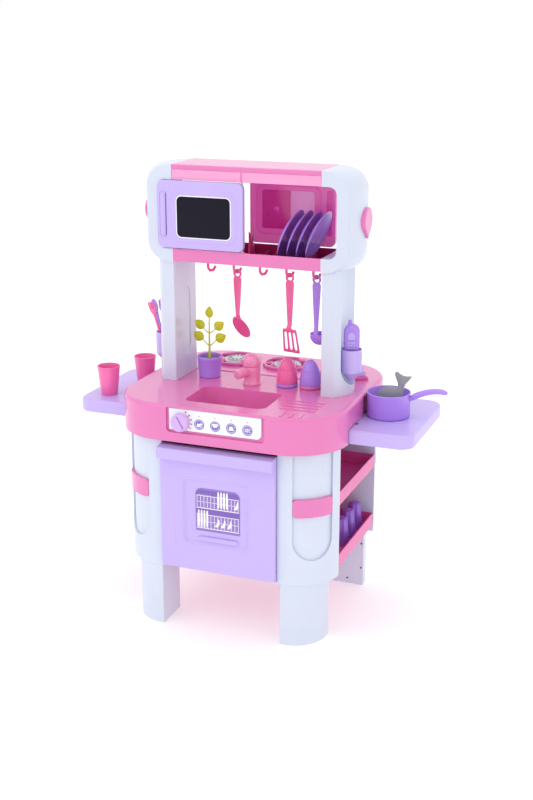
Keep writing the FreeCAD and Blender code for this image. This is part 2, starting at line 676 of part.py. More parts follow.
def small_door(far_side):
    """A cabinet door with a window seat, a recessed grip and a hinge barrel behind its inner edge."""
    right = "front_door_right" if not far_side else "-rear_door_left"
    left = f"( {right} - small_door_width )"
    body = new_body()
    pad(body, oblong((left, right), ("small_door_bottom", "small_door_top")), "small_door_thick",
        role="XZ_Plane", offset="-small_door_front - small_door_thick")
    deep = lambda edge: edge.BoundBox.YLength > 5 and edge.BoundBox.XLength < 0.1
    rounded(body, "13", deep)
    face = lambda edge: edge.BoundBox.YMax < DIMS["small_door_front"] + 0.01
    rounded(body, "2.5", face)
    pocket(body, oblong((f"{left} + 48", f"{right} - 30"), ("small_door_bottom + 33", "small_door_top - 31")),
           "3", role="XZ_Plane", offset="-small_door_front")
    pocket(body, oblong((f"{left} + 6", f"{left} + 21"), ("small_door_bottom + 23", "small_door_top - 23")),
           "6", role="XZ_Plane", offset="-small_door_front")
    rounded(body, "6", grip_corners)
    barrel_x = f"( {right} - 6 )"
    low = "( small_door_bottom + barrel_end )"
    barrel = rod("small_pin_radius + 3", "small_door_top - small_door_bottom - 2 * barrel_end", barrel_x,
                 "small_axis_y", low)
    web = block((f"{barrel_x} - 5", f"{barrel_x} + 5"), ("small_door_front + small_door_thick - 1",
                "small_axis_y"), (low, "small_door_top - barrel_end"))
    bore = rod("small_pin_radius + half_bore", "300", barrel_x, "small_axis_y", "small_door_bottom - 50")
    return cut(fuse(body, barrel, web), bore)


def grip_corners(edge):
    return 2.5 < edge.BoundBox.YLength < 6.5 and edge.BoundBox.XLength < 0.1 and edge.BoundBox.ZLength < 0.1


def small_window(far_side):
    right = "front_door_right" if not far_side else "-rear_door_left"
    left = f"( {right} - small_door_width )"
    pane = block((f"{left} + 49", f"{right} - 31"), ("small_door_front + 1", "small_door_front + 3"),
                 ("small_door_bottom + 34", "small_door_top - 32"))
    return soften(pane, 5, lambda edge: edge.BoundBox.YLength > 1 and edge.BoundBox.XLength < 0.1)


def small_hinge_pin(x, sy):
    return rod("small_pin_radius", "fascia_bottom - rail_top + 24", x, f"{sy} * ( small_axis_y )",
               "rail_top - 12")


def hook(index):
    """One open J hook: a stem under the cabinet and a half ring, in a plane turned from the rail."""
    arc = ring("hook_radius", "wire_radius")
    arc.Angle3 = 175
    arc.Placement.Rotation = Turn(Vec(0, 1, 0), 90) * Turn(Vec(0, 0, 1), -90)
    arc = locate_hook(arc, index, "hook_centre_z")
    return arc


def locate_hook(obj, index, height, y="0", turn="swing_turn"):
    """Move a piece to a hook's centre and turn it into the hook's plane, or into another upright plane."""
    obj.Placement.Rotation = Turn(Vec(0, 0, 1), DIMS[turn]).multiply(obj.Placement.Rotation)
    side = math.sin(math.radians(DIMS["swing_turn"]))
    reach = math.cos(math.radians(DIMS["swing_turn"]))
    return locate(obj, f"{index - 2} * hook_pitch - {side} * ( hook_radius + {y} )",
                  f"hook_y + {reach} * ( hook_radius + {y} )", height)


def hooks():
    pieces = []
    for index in range(5):
        stem = rod("wire_radius", "rail_bottom - hook_centre_z")
        pieces.append(locate_hook(stem, index, "hook_centre_z", y="0 - hook_radius"))
        pieces.append(hook(index))
        bar = rod("wire_radius", "12", along="Y")
        pieces.append(locate_hook(bar, index, "hook_centre_z - hook_radius", y="0 - 6"))
    return fuse(*pieces)


def rack():
    """A floor insert with arched ribs that the plates stand between."""
    base = block(("10", "cap_inner - wall"), ("-50", "50"),
                 ("rail_bottom + 4", "rail_bottom + 8"))
    ribs = []
    for index in range(6):
        x = f"27 + {index} * plate_pitch"
        disc = rod("26", "3", x, "0", "rail_bottom - 2", "X")
        ribs.append(disc)
    above = block(("0", "cap_inner"), ("-40", "40"), ("rail_bottom + 6", "rail_top + 20"))
    return fuse(base, common(fuse(*ribs), above))


def end_grip():
    """A raised teardrop on the middle of a cabinet end."""
    disc = rod("grip_radius", "14", "cap_outer - 7", "0", "grip_z", "X")
    point = block(("0", "14"), ("0", "grip_radius"), ("0", "grip_radius"))
    point.Placement.Rotation = Turn(Vec(1, 0, 0), 45)
    locate(point, "cap_outer - 7", "0", "grip_z - grip_radius * 1.4142")
    drop = fuse(disc, point)
    doc.recompute()
    face = lambda edge: edge.BoundBox.XMin > DIMS["cap_outer"] + 6
    return cut(soften(drop, 3, face), cap_form(0))


def build_cabinet():
    keep(cabinet_end(), "cabinet_end_right")
    keep(cabinet_end(), "cabinet_end_left", half_turn=True)
    keep(cabinet_top(), "cabinet_top")
    keep(cabinet_shelf(), "cabinet_shelf")
    keep(hooks(), "hooks")
    keep(fuse(rack(), turned(rack())), "plate_racks")
    for name, far_side in (("front", False), ("rear", True)):
        keep(small_door(far_side), f"cabinet_door_{name}", far_side)
        keep(small_window(far_side), f"cabinet_window_{name}", far_side)
    keep(fuse(*pin_bores()), "cabinet_hinge_pins")
    keep(fuse(end_grip(), turned(end_grip())), "cabinet_grips")


# ---------------------------------------------------------------- tap and hob

def build_tap(deck):
    """A round tap with a short spout, turned a little to one side, and a domed top that turns."""
    top_z = f"( {deck} + tap_height - 20 )"
    post = rod("tap_radius", "tap_height - 20", "tap_x", "tap_y", deck)
    spout = rod("spout_radius", "spout_reach")
    angle = math.radians(DIMS["spout_turn"])
    spout.Placement.Rotation = Turn(Vec(0, 0, 1), Vec(-math.sin(angle), -math.cos(angle), 0))
    locate(spout, "tap_x", "tap_y", f"{deck} + 31")
    doc.recompute()
    spout = soften(spout, 2, lambda edge: edge.BoundBox.YMax < DIMS["tap_y"] - 30)
    keep(fuse(post, spout), "tap_body")
    cap = rod("tap_radius", "8", "tap_x", "tap_y", f"{top_z} + clearance")
    above = block(("tap_x - 30", "tap_x + 30"), ("tap_y - 30", "tap_y + 30"), (f"{top_z} + 7", f"{top_z} + 40"))
    dome = common(ball("tap_radius", "tap_x", "tap_y", f"{top_z} + 8"), above)
    button = rod("6", "5", "tap_x", "tap_y - tap_radius - 2", f"{top_z} + 9", "Y")
    keep(fuse(cap, dome, button), "tap_knob")


def build_fittings():
    build_tap("( counter_top - band_depth )")
    burners = []
    supports = []
    for x in ("hob_left", "hob_right"):
        plate = rod("burner_radius", "4", x, "hob_y", "counter_top")
        crown = cone("burner_radius - 8", "burner_radius - 12", "5", x, "hob_y", "counter_top + 3")
        burners.append(fuse(plate, crown))
        hoop = rod("support_radius - 3", "7", x, "hob_y", "counter_top")
        arms = [cut(hoop, rod("support_radius - 9", "9", x, "hob_y", "counter_top - 1"))]
        for quarter in range(4):
            arm = block(("burner_radius + 1", "support_radius"), ("-3", "3"), ("0", "12"))
            arm.Placement.Rotation = Turn(Vec(0, 0, 1), 45 + 90 * quarter)
            angle = math.radians(45 + 90 * quarter)
            locate(arm, f"{x} + ( burner_radius + 1 ) * {math.cos(angle):.4f} + {3 * math.sin(angle):.4f}",
                   f"hob_y + ( burner_radius + 1 ) * {math.sin(angle):.4f} - {3 * math.cos(angle):.4f}",
                   "counter_top")
            arms.append(arm)
        supports.append(fuse(*arms))
    keep(fuse(*burners), "burners")
    keep(fuse(*supports), "pan_supports")


# ---------------------------------------------------------------- tableware and tools

def plate(index):
    """A shallow dish, leaning in the rack."""
    dish = cone("plate_foot", "plate_radius", "plate_depth")
    hollow = cone("plate_foot - 1", "plate_radius - 1", "plate_depth", z="skin")
    form = cut(dish, hollow)
    lean = DIMS["plate_lean"]
    form.Placement.Rotation = Turn(Vec(0, 1, 0), 90 + lean)
    shift = DIMS["plate_radius"] + 1
    rise = shift * math.cos(math.radians(lean))
    drift = shift * math.sin(math.radians(lean))
    return locate(form, f"48 + {index} * plate_pitch + {drift:.3f}", "0",
                  f"rail_bottom + 8 + {rise:.3f} + {5:.1f}")


def cup(x, y):
    base = "flap_bottom + flap_thick + clearance"
    outside = cone("cup_foot_radius", "cup_top_radius", "cup_height", x, y, base)
    inside = cone("cup_foot_radius - skin", "cup_top_radius - skin", "cup_height", x, y, f"{base} + skin")
    return cut(outside, inside)


def saucepan():
    base = "flap_bottom + flap_thick + clearance"
    outside = rod("pan_radius", "pan_height", "pan_x", "pan_y", base)
    outside = soften(outside, 4, lambda edge: edge.BoundBox.ZMax < DIMS["flap_bottom"] + 40)
    inside = rod("pan_radius - skin", "pan_height", "pan_x", "pan_y", f"{base} + skin")
    grip = block(("0", "86"), ("-9", "9"), ("0", "13"))
    grip = cut(soften(grip, 4, lambda edge: True), rod("3", "20", "76", "0", "-3"))
    grip.Placement.Rotation = Turn(Vec(0, 0, 1), 5) * Turn(Vec(0, 1, 0), -14)
    locate(grip, "pan_x + pan_radius - 2", "pan_y", f"{base} + pan_height - 16")
    return cut(fuse(outside, grip), inside)


def fish():
    """A plain toy fish standing in the saucepan, tail up."""
    base = "flap_bottom + flap_thick + clearance + skin + 0.5"
    turn = Turn(Vec(0, 0, 1), -10)
    trunk = soften(rod("33", "15", z="33.2", y="-7.5", along="Y"), 6, lambda edge: edge.BoundBox.YLength < 1)
    trunk.Placement.Rotation = turn
    locate(trunk, "pan_x - 1", "pan_y + 4", base)
    tail = doc.addObject("Part::Wedge", "tail")
    tail.Xmin, tail.Xmax, tail.X2min, tail.X2max = -7, 7, -20, 20
    tail.Zmin, tail.Zmax, tail.Z2min, tail.Z2max = -3.5, 3.5, -3, 3
    tail.Ymin, tail.Ymax = 0, 38
    tail.Placement.Rotation = turn * Turn(Vec(0, 1, 0), 14) * Turn(Vec(1, 0, 0), 90)
    locate(tail, "pan_x + 22", "pan_y", f"{base} + 54")
    return fuse(trunk, tail)


def plant_pot():
    deck = "counter_top - band_depth + clearance"
    outside = cone("pot_foot_radius", "pot_top_radius", "pot_height", "-117", "8", deck)
    inside = cone("pot_foot_radius", "pot_top_radius - skin", "8", "-117", "8", f"{deck} + pot_height - 8")
    return cut(outside, inside)


def plant():
    """A stem with five plain leaves."""
    foot_z = "counter_top - band_depth + clearance + pot_height - 8"
    parts = [cone("4", "2", "110", "-117", "8", foot_z)]
    for side, height in ((0, 110), (-1, 86), (1, 84), (-1, 58), (1, 60)):
        leaf = doc.addObject("Part::Ellipsoid", "leaf")
        leaf.Radius1 = 1.6
        leaf.Radius2 = 14 if side else 11
        leaf.Radius3 = 11 if side else 14
        leaf.Placement.Rotation = Turn(Vec(0, 0, 1), 90)
        locate(leaf, f"-117 + {side * 23}", "8", f"{foot_z} + {height}")
        parts.append(leaf)
        if side:
            twig = rod("1.5", "24")
            twig.Placement.Rotation = Turn(Vec(0, 1, 0), side * 52)
            locate(twig, "-117", "8", f"{foot_z} + {height - 18}")
            parts.append(twig)
    return fuse(*parts)


def shaker(x, y):
    """An egg-shaped shaker on a flat ring base."""
    deck = "counter_top - band_depth + clearance"
    base = rod("shaker_radius", "8", x, y, deck)
    egg = doc.addObject("Part::Ellipsoid", "egg")
    bind(egg, "Radius1", "shaker_height - 8")
    bind(egg, "Radius2", "shaker_radius - 0.5")
    egg.Radius3 = 0
    egg.Angle1 = 0
    locate(egg, x, y, f"{deck} + 8")
    return fuse(base, egg)


EYE_Z = "( wire_radius + eye_play - ring_radius )"


def hanging(index, pieces):
    """Place the pieces of a tool, built with its ring on the origin, on a hook."""
    drop = "hook_centre_z - hook_radius"
    tool = cut(fuse(*pieces), rod("ring_radius", "20", "0", "-10", EYE_Z, "Y"))
    return locate_hook(tool, index, drop, turn="tool_turn")


def handle(length):
    bar = block(("-10", "10"), ("-handle_thick / 2", "handle_thick / 2"), (f"-{length}", "-8"))
    top = rod("10.5", "handle_thick", "0", "-handle_thick / 2", EYE_Z, "Y")
    return [bar, top]


def spoon():
    bowl = doc.addObject("Part::Ellipsoid", "bowl")
    bowl.Radius1 = 5
    bowl.Radius2 = 34
    bowl.Radius3 = 20
    bowl.Placement.Rotation = Turn(Vec(1, 0, 0), 36) * Turn(Vec(0, 1, 0), 90)
    locate(bowl, "0", "16", "-128")
    return hanging(1, handle(112) + [bowl])


def turner():
    blade = doc.addObject("Part::Wedge", "blade")
    blade.Xmin, blade.Xmax, blade.X2min, blade.X2max = -22, 22, -18, 18
    blade.Zmin, blade.Zmax, blade.Z2min, blade.Z2max = -1.5, 1.5, -1.5, 1.5
    blade.Ymin, blade.Ymax = -58, 0
    blade.Placement.Rotation = Turn(Vec(1, 0, 0), 90)
    slots = [block((f"{-13.5 + 10.5 * i}", f"{-7.5 + 10.5 * i}"), ("-5", "5"), ("-50", "-10")) for i in range(3)]
    doc.recompute()
    form = cut(soften(blade, 6, lambda edge: edge.BoundBox.YLength > 2 and edge.BoundBox.XLength < 0.1), *slots)
    form.Placement.Rotation = Turn(Vec(1, 0, 0), 11.5)
    locate(form, "0", "-1", "-118")
    return hanging(3, handle(124) + [form])


def ladle():
    cup_outer = ball("22", "0", "16", "-130")
    cup_inner = ball("20", "0", "16", "-130")
    lid = block(("-30", "30"), ("-10", "45"), ("-126", "-90"))
    form = cut(cup_outer, cup_inner, lid)
    return hanging(4, handle(128) + [form])


def tools_in_pocket():
    """A bundle of small forks and spoons standing in the left pocket, leaning outwards."""
    parts = []
    for dx, dy, lean, tip in ((1, -6, -13, -8), (5, -2, -5, -3), (-2, 0, -14, 2), (1, 8, -9, 8)):
        stem = cone("3", "3.5", "92")
        bowl = doc.addObject("Part::Ellipsoid", "bowl")
        bowl.Radius1 = 18
        bowl.Radius2 = 11
        bowl.Radius3 = 2.5
        bowl.Placement.Rotation = Turn(Vec(0, 0, 1), -20)
        bowl.Placement.Base = Vec(0, 0, 104)
        tool = fuse(stem, bowl)
        tool.Placement.Rotation = Turn(Vec(1, 0, 0), -tip) * Turn(Vec(0, 1, 0), lean)
        parts.append(locate(tool, f"-pocket_x + {dx}", f"{dy}", "pocket_shoulder + skin + 1"))
    return fuse(*parts)


def toy_phone():
    """An arched handset with a short stub, standing in the right pocket."""
    bar = block(("-17", "17"), ("-8", "8"), ("0", "102"))
    bar = soften(bar, 15, lambda edge: edge.BoundBox.YLength > 15 and edge.BoundBox.ZMin > 100)
    stub = rod("4.5", "14", "-4", "3", "96")
    phone = fuse(bar, stub)
    phone.Placement.Rotation = Turn(Vec(0, 0, 1), 15)
    return locate(phone, "pocket_x", "0", "pocket_shoulder + skin + 1")


def toy_iron():
    """A toy flat iron: soleplate, body and bridge handle."""
    deck = "counter_top + clearance"
    sole = block(("-60", "60"), ("-25", "25"), ("0", "8"))
    sole = soften(sole, 22, is_upright)
    body = block(("-50", "50"), ("-20", "20"), ("8", "32"))
    body = soften(body, 15, is_upright)
    arch = cut(block(("-40", "44"), ("-8", "8"), ("30", "62")), block(("-26", "30"), ("-9", "9"), ("34", "50")))
    return locate(fuse(sole, body, soften(arch, 7, bridge_top)), "172", "100", deck)


def bridge_top(edge):
    return edge.BoundBox.YLength > 10 and edge.BoundBox.ZMin > 60


def beakers():
    """Small stacking beakers standing in the lower right tray."""
    parts = []
    for index in range(3):
        y = f"-5 + {index} * 50"
        base = "shelf_low + wall + clearance"
        outside = cone("beaker_foot_radius", "beaker_top_radius", "beaker_height", "206", y, base)
        inside = cone("beaker_foot_radius - skin", "beaker_top_radius - skin", "beaker_height", "206", y,
                      f"{base} + skin")
        parts.append(cut(outside, inside))
    return fuse(*parts)


def build_accessories():
    keep(fuse(*[plate(index) for index in range(4)]), "plates")
    keep(fuse(cup("-338", "-62"), cup("-299", "45")), "cups")
    keep(saucepan(), "saucepan")
    keep(fish(), "toy_fish")
    keep(plant_pot(), "plant_pot")
    keep(plant(), "plant")
    keep(shaker("74", "-3"), "shaker_pink")
    keep(shaker("127", "1"), "shaker_purple")
    keep(spoon(), "spoon")
    keep(turner(), "turner")
    keep(ladle(), "ladle")
    keep(tools_in_pocket(), "cutlery")
    keep(toy_phone(), "toy_phone")
    keep(toy_iron(), "toy_iron")
    keep(beakers(), "beakers")


# ---------------------------------------------------------------- build, check, write

def check():
    doc.recompute()
    for obj in doc.Objects:
        if "Invalid" in obj.State or "Error" in obj.State:
            raise RuntimeError(f"{obj.Name} ({obj.Label}) failed to recompute")
    for obj in nodes:
        if obj.Shape.isNull() or not obj.Shape.isValid() or not obj.Shape.Solids:
            raise RuntimeError(f"{obj.Label} has no valid shape")


build_supports()
build_counter()
build_middle()
build_flaps()
build_columns()
build_cabinet()
build_fittings()
build_accessories()
check()
os.makedirs("parts", exist_ok=True)
for node in nodes:
    node.Shape.exportStep(f"parts/{node.Label}.step")
print(len(nodes), "nodes written")
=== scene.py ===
"""Looks of the toy kitchen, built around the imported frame. Lengths in the tables are millimetres."""

import json
import math

import bmesh
import bpy
from mathutils import Matrix, Vector


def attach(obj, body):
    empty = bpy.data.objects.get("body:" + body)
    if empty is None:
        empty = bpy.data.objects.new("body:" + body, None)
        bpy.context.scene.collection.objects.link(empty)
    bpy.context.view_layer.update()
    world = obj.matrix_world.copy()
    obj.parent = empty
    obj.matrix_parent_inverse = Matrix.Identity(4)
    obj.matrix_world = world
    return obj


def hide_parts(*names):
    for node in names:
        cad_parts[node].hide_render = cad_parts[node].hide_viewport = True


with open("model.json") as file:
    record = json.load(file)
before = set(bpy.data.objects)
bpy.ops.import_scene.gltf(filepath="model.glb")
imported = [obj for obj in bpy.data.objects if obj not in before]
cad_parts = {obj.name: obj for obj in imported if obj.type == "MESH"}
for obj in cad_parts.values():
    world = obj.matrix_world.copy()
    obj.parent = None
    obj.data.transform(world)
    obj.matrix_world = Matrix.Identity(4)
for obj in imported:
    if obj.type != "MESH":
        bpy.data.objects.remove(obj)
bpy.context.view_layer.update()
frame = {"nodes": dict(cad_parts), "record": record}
MM = 0.001
NODE_BODY = {node: body for body, nodes in frame["record"]["behaviour"]["bodies"].items() for node in nodes}

FLAP_TOP = 472.3
DECK_TOP = 518.5
COUNTER_REST = 518.8
POCKET_FLOOR = 569
TRAY_REST = 163.3
PANEL_FACE = -236.0
DOOR_BACK = -225.5
KNOB_X, KNOB_Z = -76, 488


# ---------------------------------------------------------------- materials

def srgb(r, g, b):
    """A colour given as 0-255 display values, as the shader wants it."""
    def linear(v):
        v /= 255
        return v / 12.92 if v <= 0.04045 else ((v + 0.055) / 1.055) ** 2.4
    return (linear(r), linear(g), linear(b), 1)


def plastic(name, colour, rough=0.34, coat=0.15, grain=0.1, subsurface=0.08, alpha=1.0, shade=0.06, glow=0.0,
            shine=0.5):
    """Moulded plastic: faint cloudiness in the colour, uneven gloss and a very fine surface grain.

    `glow` stands for the light a tinted, see-through wall passes on from behind.
    """
    mat = bpy.data.materials.new(name)
    mat.use_nodes = True
    tree = mat.node_tree
    bsdf = tree.nodes["Principled BSDF"]
    new, link = tree.nodes.new, tree.links.new
    place = new("ShaderNodeTexCoord")
    cloud = new("ShaderNodeTexNoise")
    cloud.inputs["Scale"].default_value = 9
    cloud.inputs["Detail"].default_value = 3
    link(place.outputs["Object"], cloud.inputs["Vector"])
    tint = new("ShaderNodeMix")
    tint.data_type = "RGBA"
    base = srgb(*colour)
    tint.inputs["A"].default_value = (*[c * (1 - shade) for c in base[:3]], 1)
    tint.inputs["B"].default_value = (*[min(1, c * (1 + shade * 0.6)) for c in base[:3]], 1)
    link(cloud.outputs["Fac"], tint.inputs["Factor"])
    link(tint.outputs["Result"], bsdf.inputs["Base Color"])
    fine = new("ShaderNodeTexNoise")
    fine.inputs["Scale"].default_value = 420
    fine.inputs["Detail"].default_value = 2
    link(place.outputs["Object"], fine.inputs["Vector"])
    gloss = new("ShaderNodeMapRange")
    gloss.inputs["To Min"].default_value = rough - 0.04
    gloss.inputs["To Max"].default_value = rough + 0.07
    link(cloud.outputs["Fac"], gloss.inputs["Value"])
    link(gloss.outputs["Result"], bsdf.inputs["Roughness"])
    bump = new("ShaderNodeBump")
    bump.inputs["Strength"].default_value = grain
    bump.inputs["Distance"].default_value = 0.0004
    link(fine.outputs["Fac"], bump.inputs["Height"])
    link(bump.outputs["Normal"], bsdf.inputs["Normal"])
    bsdf.inputs["Coat Weight"].default_value = coat
    bsdf.inputs["Coat Roughness"].default_value = 0.12
    bsdf.inputs["Subsurface Weight"].default_value = subsurface
    bsdf.inputs["Subsurface Scale"].default_value = 0.004
    bsdf.inputs["Alpha"].default_value = alpha
    bsdf.inputs["Emission Color"].default_value = base
    bsdf.inputs["Emission Strength"].default_value = glow
    bsdf.inputs["Specular IOR Level"].default_value = shine
    return mat


def metal(name, colour, rough=0.25):
    mat = plastic(name, colour, rough=rough, coat=0, grain=0.05, subsurface=0)
    mat.node_tree.nodes["Principled BSDF"].inputs["Metallic"].default_value = 1
    return mat


M = {
    "pink": plastic("pink_plastic", (229, 122, 186), rough=0.24, coat=0.5),
    "deep_pink": plastic("deep_pink_plastic", (208, 62, 140), rough=0.4),
    "shelf_pink": plastic("shelf_pink_plastic", (232, 96, 168), rough=0.34),
    "floor_magenta": plastic("magenta_plastic", (178, 20, 92), rough=0.4),
    "lilac": plastic("lilac_plastic", (200, 180, 242), rough=0.33, coat=0.2),
    "knob": plastic("knob_plastic", (214, 178, 236), rough=0.3, coat=0.25),
    "lilac_deep": plastic("deep_lilac_plastic", (188, 148, 234), rough=0.3, coat=0.25),
    "light_pink": plastic("light_pink_plastic", (250, 164, 210), rough=0.27, coat=0.35),
    "purple": plastic("purple_plastic", (180, 138, 238), rough=0.3, coat=0.25),
    "dark_purple": plastic("dark_purple_plastic", (146, 96, 208), rough=0.3, coat=0.25),
    "white": plastic("white_plastic", (213, 220, 237), rough=0.3, coat=0.25),
    "panel": plastic("panel_plastic", (238, 239, 248), rough=0.35),
    "black": plastic("window_black", (26, 24, 38), rough=0.3, coat=0, grain=0.02, subsurface=0, shine=0.12),
    "line": plastic("printed_white", (250, 250, 253), rough=0.4, grain=0.03, subsurface=0),
    "print": plastic("printed_purple", (150, 118, 202), rough=0.3, grain=0.03, subsurface=0),
    "print_dark": plastic("printed_dark_purple", (126, 94, 186), rough=0.3, grain=0.03, subsurface=0),
    "icon": plastic("printed_icon", (126, 104, 192), rough=0.35, grain=0.03, subsurface=0),
    "red": plastic("printed_red", (216, 30, 92), rough=0.35, grain=0.03, subsurface=0),
    # The tinted door parts below glow: emission painted in for light that comes through them from behind.
    "rear_grip": plastic("tinted_grip_plastic", (232, 70, 178), rough=0.25, coat=0.4, alpha=0.95, glow=0.15),
    "clear_pink": plastic("tinted_pink_plastic", (238, 104, 192), rough=0.22, coat=0.4, alpha=0.86,
                          glow=0.16),
    "clear_dark": plastic("tinted_magenta_plastic", (216, 44, 150), rough=0.25, coat=0.4, alpha=0.95,
                          glow=0.1),
    "clear_light": plastic("tinted_light_plastic", (232, 170, 222), rough=0.2, coat=0.4, alpha=0.75,
                           glow=0.2),
    "tap_pink": plastic("tap_pink_plastic", (246, 146, 192), rough=0.14, coat=0.7, subsurface=0.2),
    "rose": plastic("rose_plastic", (246, 112, 178), rough=0.27, coat=0.3),
    "tool_pink": plastic("tool_pink_plastic", (246, 104, 168), rough=0.27, coat=0.3),
    "lime": plastic("lime_plastic", (198, 204, 18), rough=0.36),
    "grey": plastic("grey_plastic", (152, 153, 158), rough=0.42),
    "silver": plastic("silver_plastic", (206, 208, 214), rough=0.22, coat=0.4, subsurface=0),
    "soil": plastic("soil_plastic", (120, 92, 150), rough=0.7, grain=0.5, shade=0.25),
    "steel": metal("bright_steel", (196, 198, 202)),
    # Dark plastic used as painted shade: dots and strips put where holes and slots look dark inside.
    "hole": plastic("painted_hole_shade", (70, 66, 74), rough=0.5, coat=0),
}


# ---------------------------------------------------------------- mesh helpers

def declare(obj, body, stands_for=()):
    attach(obj, body)
    if stands_for:
        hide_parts(*stands_for)
    return obj


def smooth_by_angle(mesh, degrees=35):
    mesh.shade_smooth()
    mesh.set_sharp_from_angle(angle=math.radians(degrees))


def add(name, verts, faces, material, body, slot, stands_for=(), place=None, bevel=0, subdiv=0,
        segments=3, angle=35):
    """One mesh from millimetre points, with its rounding and subdivision applied."""
    mesh = bpy.data.meshes.new(name)
    mesh.from_pydata([Vector(v) * MM for v in verts], [], faces)
    mesh.validate()
    if place is not None:
        mesh.transform(place)
    bm = bmesh.new()
    bm.from_mesh(mesh)
    bmesh.ops.recalc_face_normals(bm, faces=bm.faces)
    bm.to_mesh(mesh)
    bm.free()
    mesh.materials.append(M[material])
    obj = bpy.data.objects.new(name, mesh)
    bpy.context.collection.objects.link(obj)
    if bevel:
        round_edges(obj, bevel, segments, angle)
    if subdiv:
        mod = obj.modifiers.new("subdivision", "SUBSURF")
        mod.levels = mod.render_levels = subdiv
    apply_modifiers(obj)
    smooth_by_angle(obj.data, angle)
    return declare(obj, body, stands_for)


def round_edges(obj, width, segments=3, angle=35):
    mod = obj.modifiers.new("rounding", "BEVEL")
    mod.width = width * MM
    mod.segments = segments
    mod.limit_method = "ANGLE"
    mod.angle_limit = math.radians(angle)
    mod.use_clamp_overlap = True


def apply_modifiers(obj):
    if not obj.modifiers:
        return
    graph = bpy.context.evaluated_depsgraph_get()
    mesh = bpy.data.meshes.new_from_object(obj.evaluated_get(graph))
    obj.modifiers.clear()
    obj.data = mesh


def placed(x=0, y=0, z=0, turn=None):
    """A placement in millimetres, with an optional rotation first."""
    shift = Matrix.Translation(Vector((x, y, z)) * MM)
    return shift @ turn if turn is not None else shift


def rotation(axis, degrees):
    return Matrix.Rotation(math.radians(degrees), 4, axis)


HALF_TURN = rotation("Z", 180)


def paint(node, material):
    """A CAD node that keeps its shape and gets a better material."""
    obj = frame["nodes"][node]
    for slot in obj.material_slots:
        slot.material = M[material]


def eased(node, material, width=1.2, angle=38, segments=3):
    """A copy of a CAD node with its hard edges eased, standing for it."""
    mesh = frame["nodes"][node].data.copy()
    mesh.materials.clear()
    mesh.materials.append(M[material])
    bm = bmesh.new()
    bm.from_mesh(mesh)
    bmesh.ops.remove_doubles(bm, verts=bm.verts, dist=1e-5)
    bmesh.ops.dissolve_limit(bm, angle_limit=math.radians(0.6), verts=bm.verts, edges=bm.edges)
    bmesh.ops.recalc_face_normals(bm, faces=bm.faces)
    bm.to_mesh(mesh)
    bm.free()
    for face in mesh.polygons:
        face.material_index = 0
    obj = bpy.data.objects.new(f"{node}_eased", mesh)
    bpy.context.collection.objects.link(obj)
    round_edges(obj, width, segments, angle)
    apply_modifiers(obj)
    smooth_by_angle(obj.data, 30)
    weight = obj.modifiers.new("weighted", "WEIGHTED_NORMAL")
    weight.keep_sharp = True
    weight.weight = 100
    apply_modifiers(obj)
    return declare(obj, NODE_BODY[node], [node])


def ring_faces(rings, count):
    """Faces between consecutive loops of count points each."""
    faces = []
    for r in range(rings - 1):
        for i in range(count):
            a, b = r * count + i, r * count + (i + 1) % count
            faces.append((a, b, b + count, a + count))
    return faces


def closed_ring_faces(rings, count):
    """Faces through all the loops and back from the last to the first."""
    last = (rings - 1) * count
    return ring_faces(rings, count) + [(last + i, last + (i + 1) % count, (i + 1) % count, i)
                                       for i in range(count)]


def lathe(name, profile, material, body, slot, stands_for=(), place=None, steps=56, **extra):
    """Turn (radius, height) points about the vertical; points on the axis close the ends."""
    verts, faces, rings = [], [], []
    for radius, height in profile:
        if radius < 1e-6:
            rings.append([len(verts)])
            verts.append((0, 0, height))
            continue
        rings.append(list(range(len(verts), len(verts) + steps)))
        for i in range(steps):
            turn = 2 * math.pi * i / steps
            verts.append((radius * math.cos(turn), radius * math.sin(turn), height))
    for low, high in zip(rings, rings[1:]):
        for i in range(steps):
            j = (i + 1) % steps
            if len(low) == 1 and len(high) > 1:
                faces.append((low[0], high[i], high[j]))
            elif len(high) == 1 and len(low) > 1:
                faces.append((low[i], low[j], high[0]))
            elif len(low) > 1:
                faces.append((low[i], low[j], high[j], high[i]))
    return add(name, verts, faces, material, body, slot, stands_for, place, **extra)


def loft(name, loops, material, body, slot, stands_for=(), place=None, **extra):
    """A closed skin over a row of loops, with a flat cap on each end."""
    count = len(loops[0])
    verts = [point for loop in loops for point in loop]
    faces = ring_faces(len(loops), count)
    faces.append(tuple(range(count)))
    faces.append(tuple(reversed(range(len(verts) - count, len(verts)))))
    return add(name, verts, faces, material, body, slot, stands_for, place, **extra)


def smoothed(rows, per=6):
    """Catmull-Rom rows between the given rows of numbers, of any width."""
    out = []
    padded_rows = [rows[0], *rows, rows[-1]]
    for a, b, c, d in zip(padded_rows, padded_rows[1:], padded_rows[2:], padded_rows[3:]):
        for k in range(per):
            t = k / per
            out.append(tuple(0.5 * (2 * q + (r - p) * t + (2 * p - 5 * q + 4 * r - s) * t * t
                                    + (3 * q - p - 3 * r + s) * t ** 3)
                             for p, q, r, s in zip(a, b, c, d)))
    out.append(tuple(rows[-1]))
    return out


def sweep_loops(rows, side=(1, 0, 0), steps=18, power=2.6):
    """Cross-sections along rows of (x, y, z, half width, half thickness), the width held near side."""
    side = Vector(side)
    loops = []
    for i, (x, y, z, wide, thick) in enumerate(rows):
        ahead = Vector(rows[min(i + 1, len(rows) - 1)][:3])
        behind = Vector(rows[max(i - 1, 0)][:3])
        along = (ahead - behind).normalized()
        across = (side - along * side.dot(along)).normalized()
        up = along.cross(across)
        loop = []
        for k in range(steps):
            turn = 2 * math.pi * k / steps
            c, s = math.cos(turn), math.sin(turn)
            u = math.copysign(abs(c) ** (2 / power), c) * wide
            v = math.copysign(abs(s) ** (2 / power), s) * thick
            loop.append(Vector((x, y, z)) + across * u + up * v)
        loops.append(loop)
    return loops


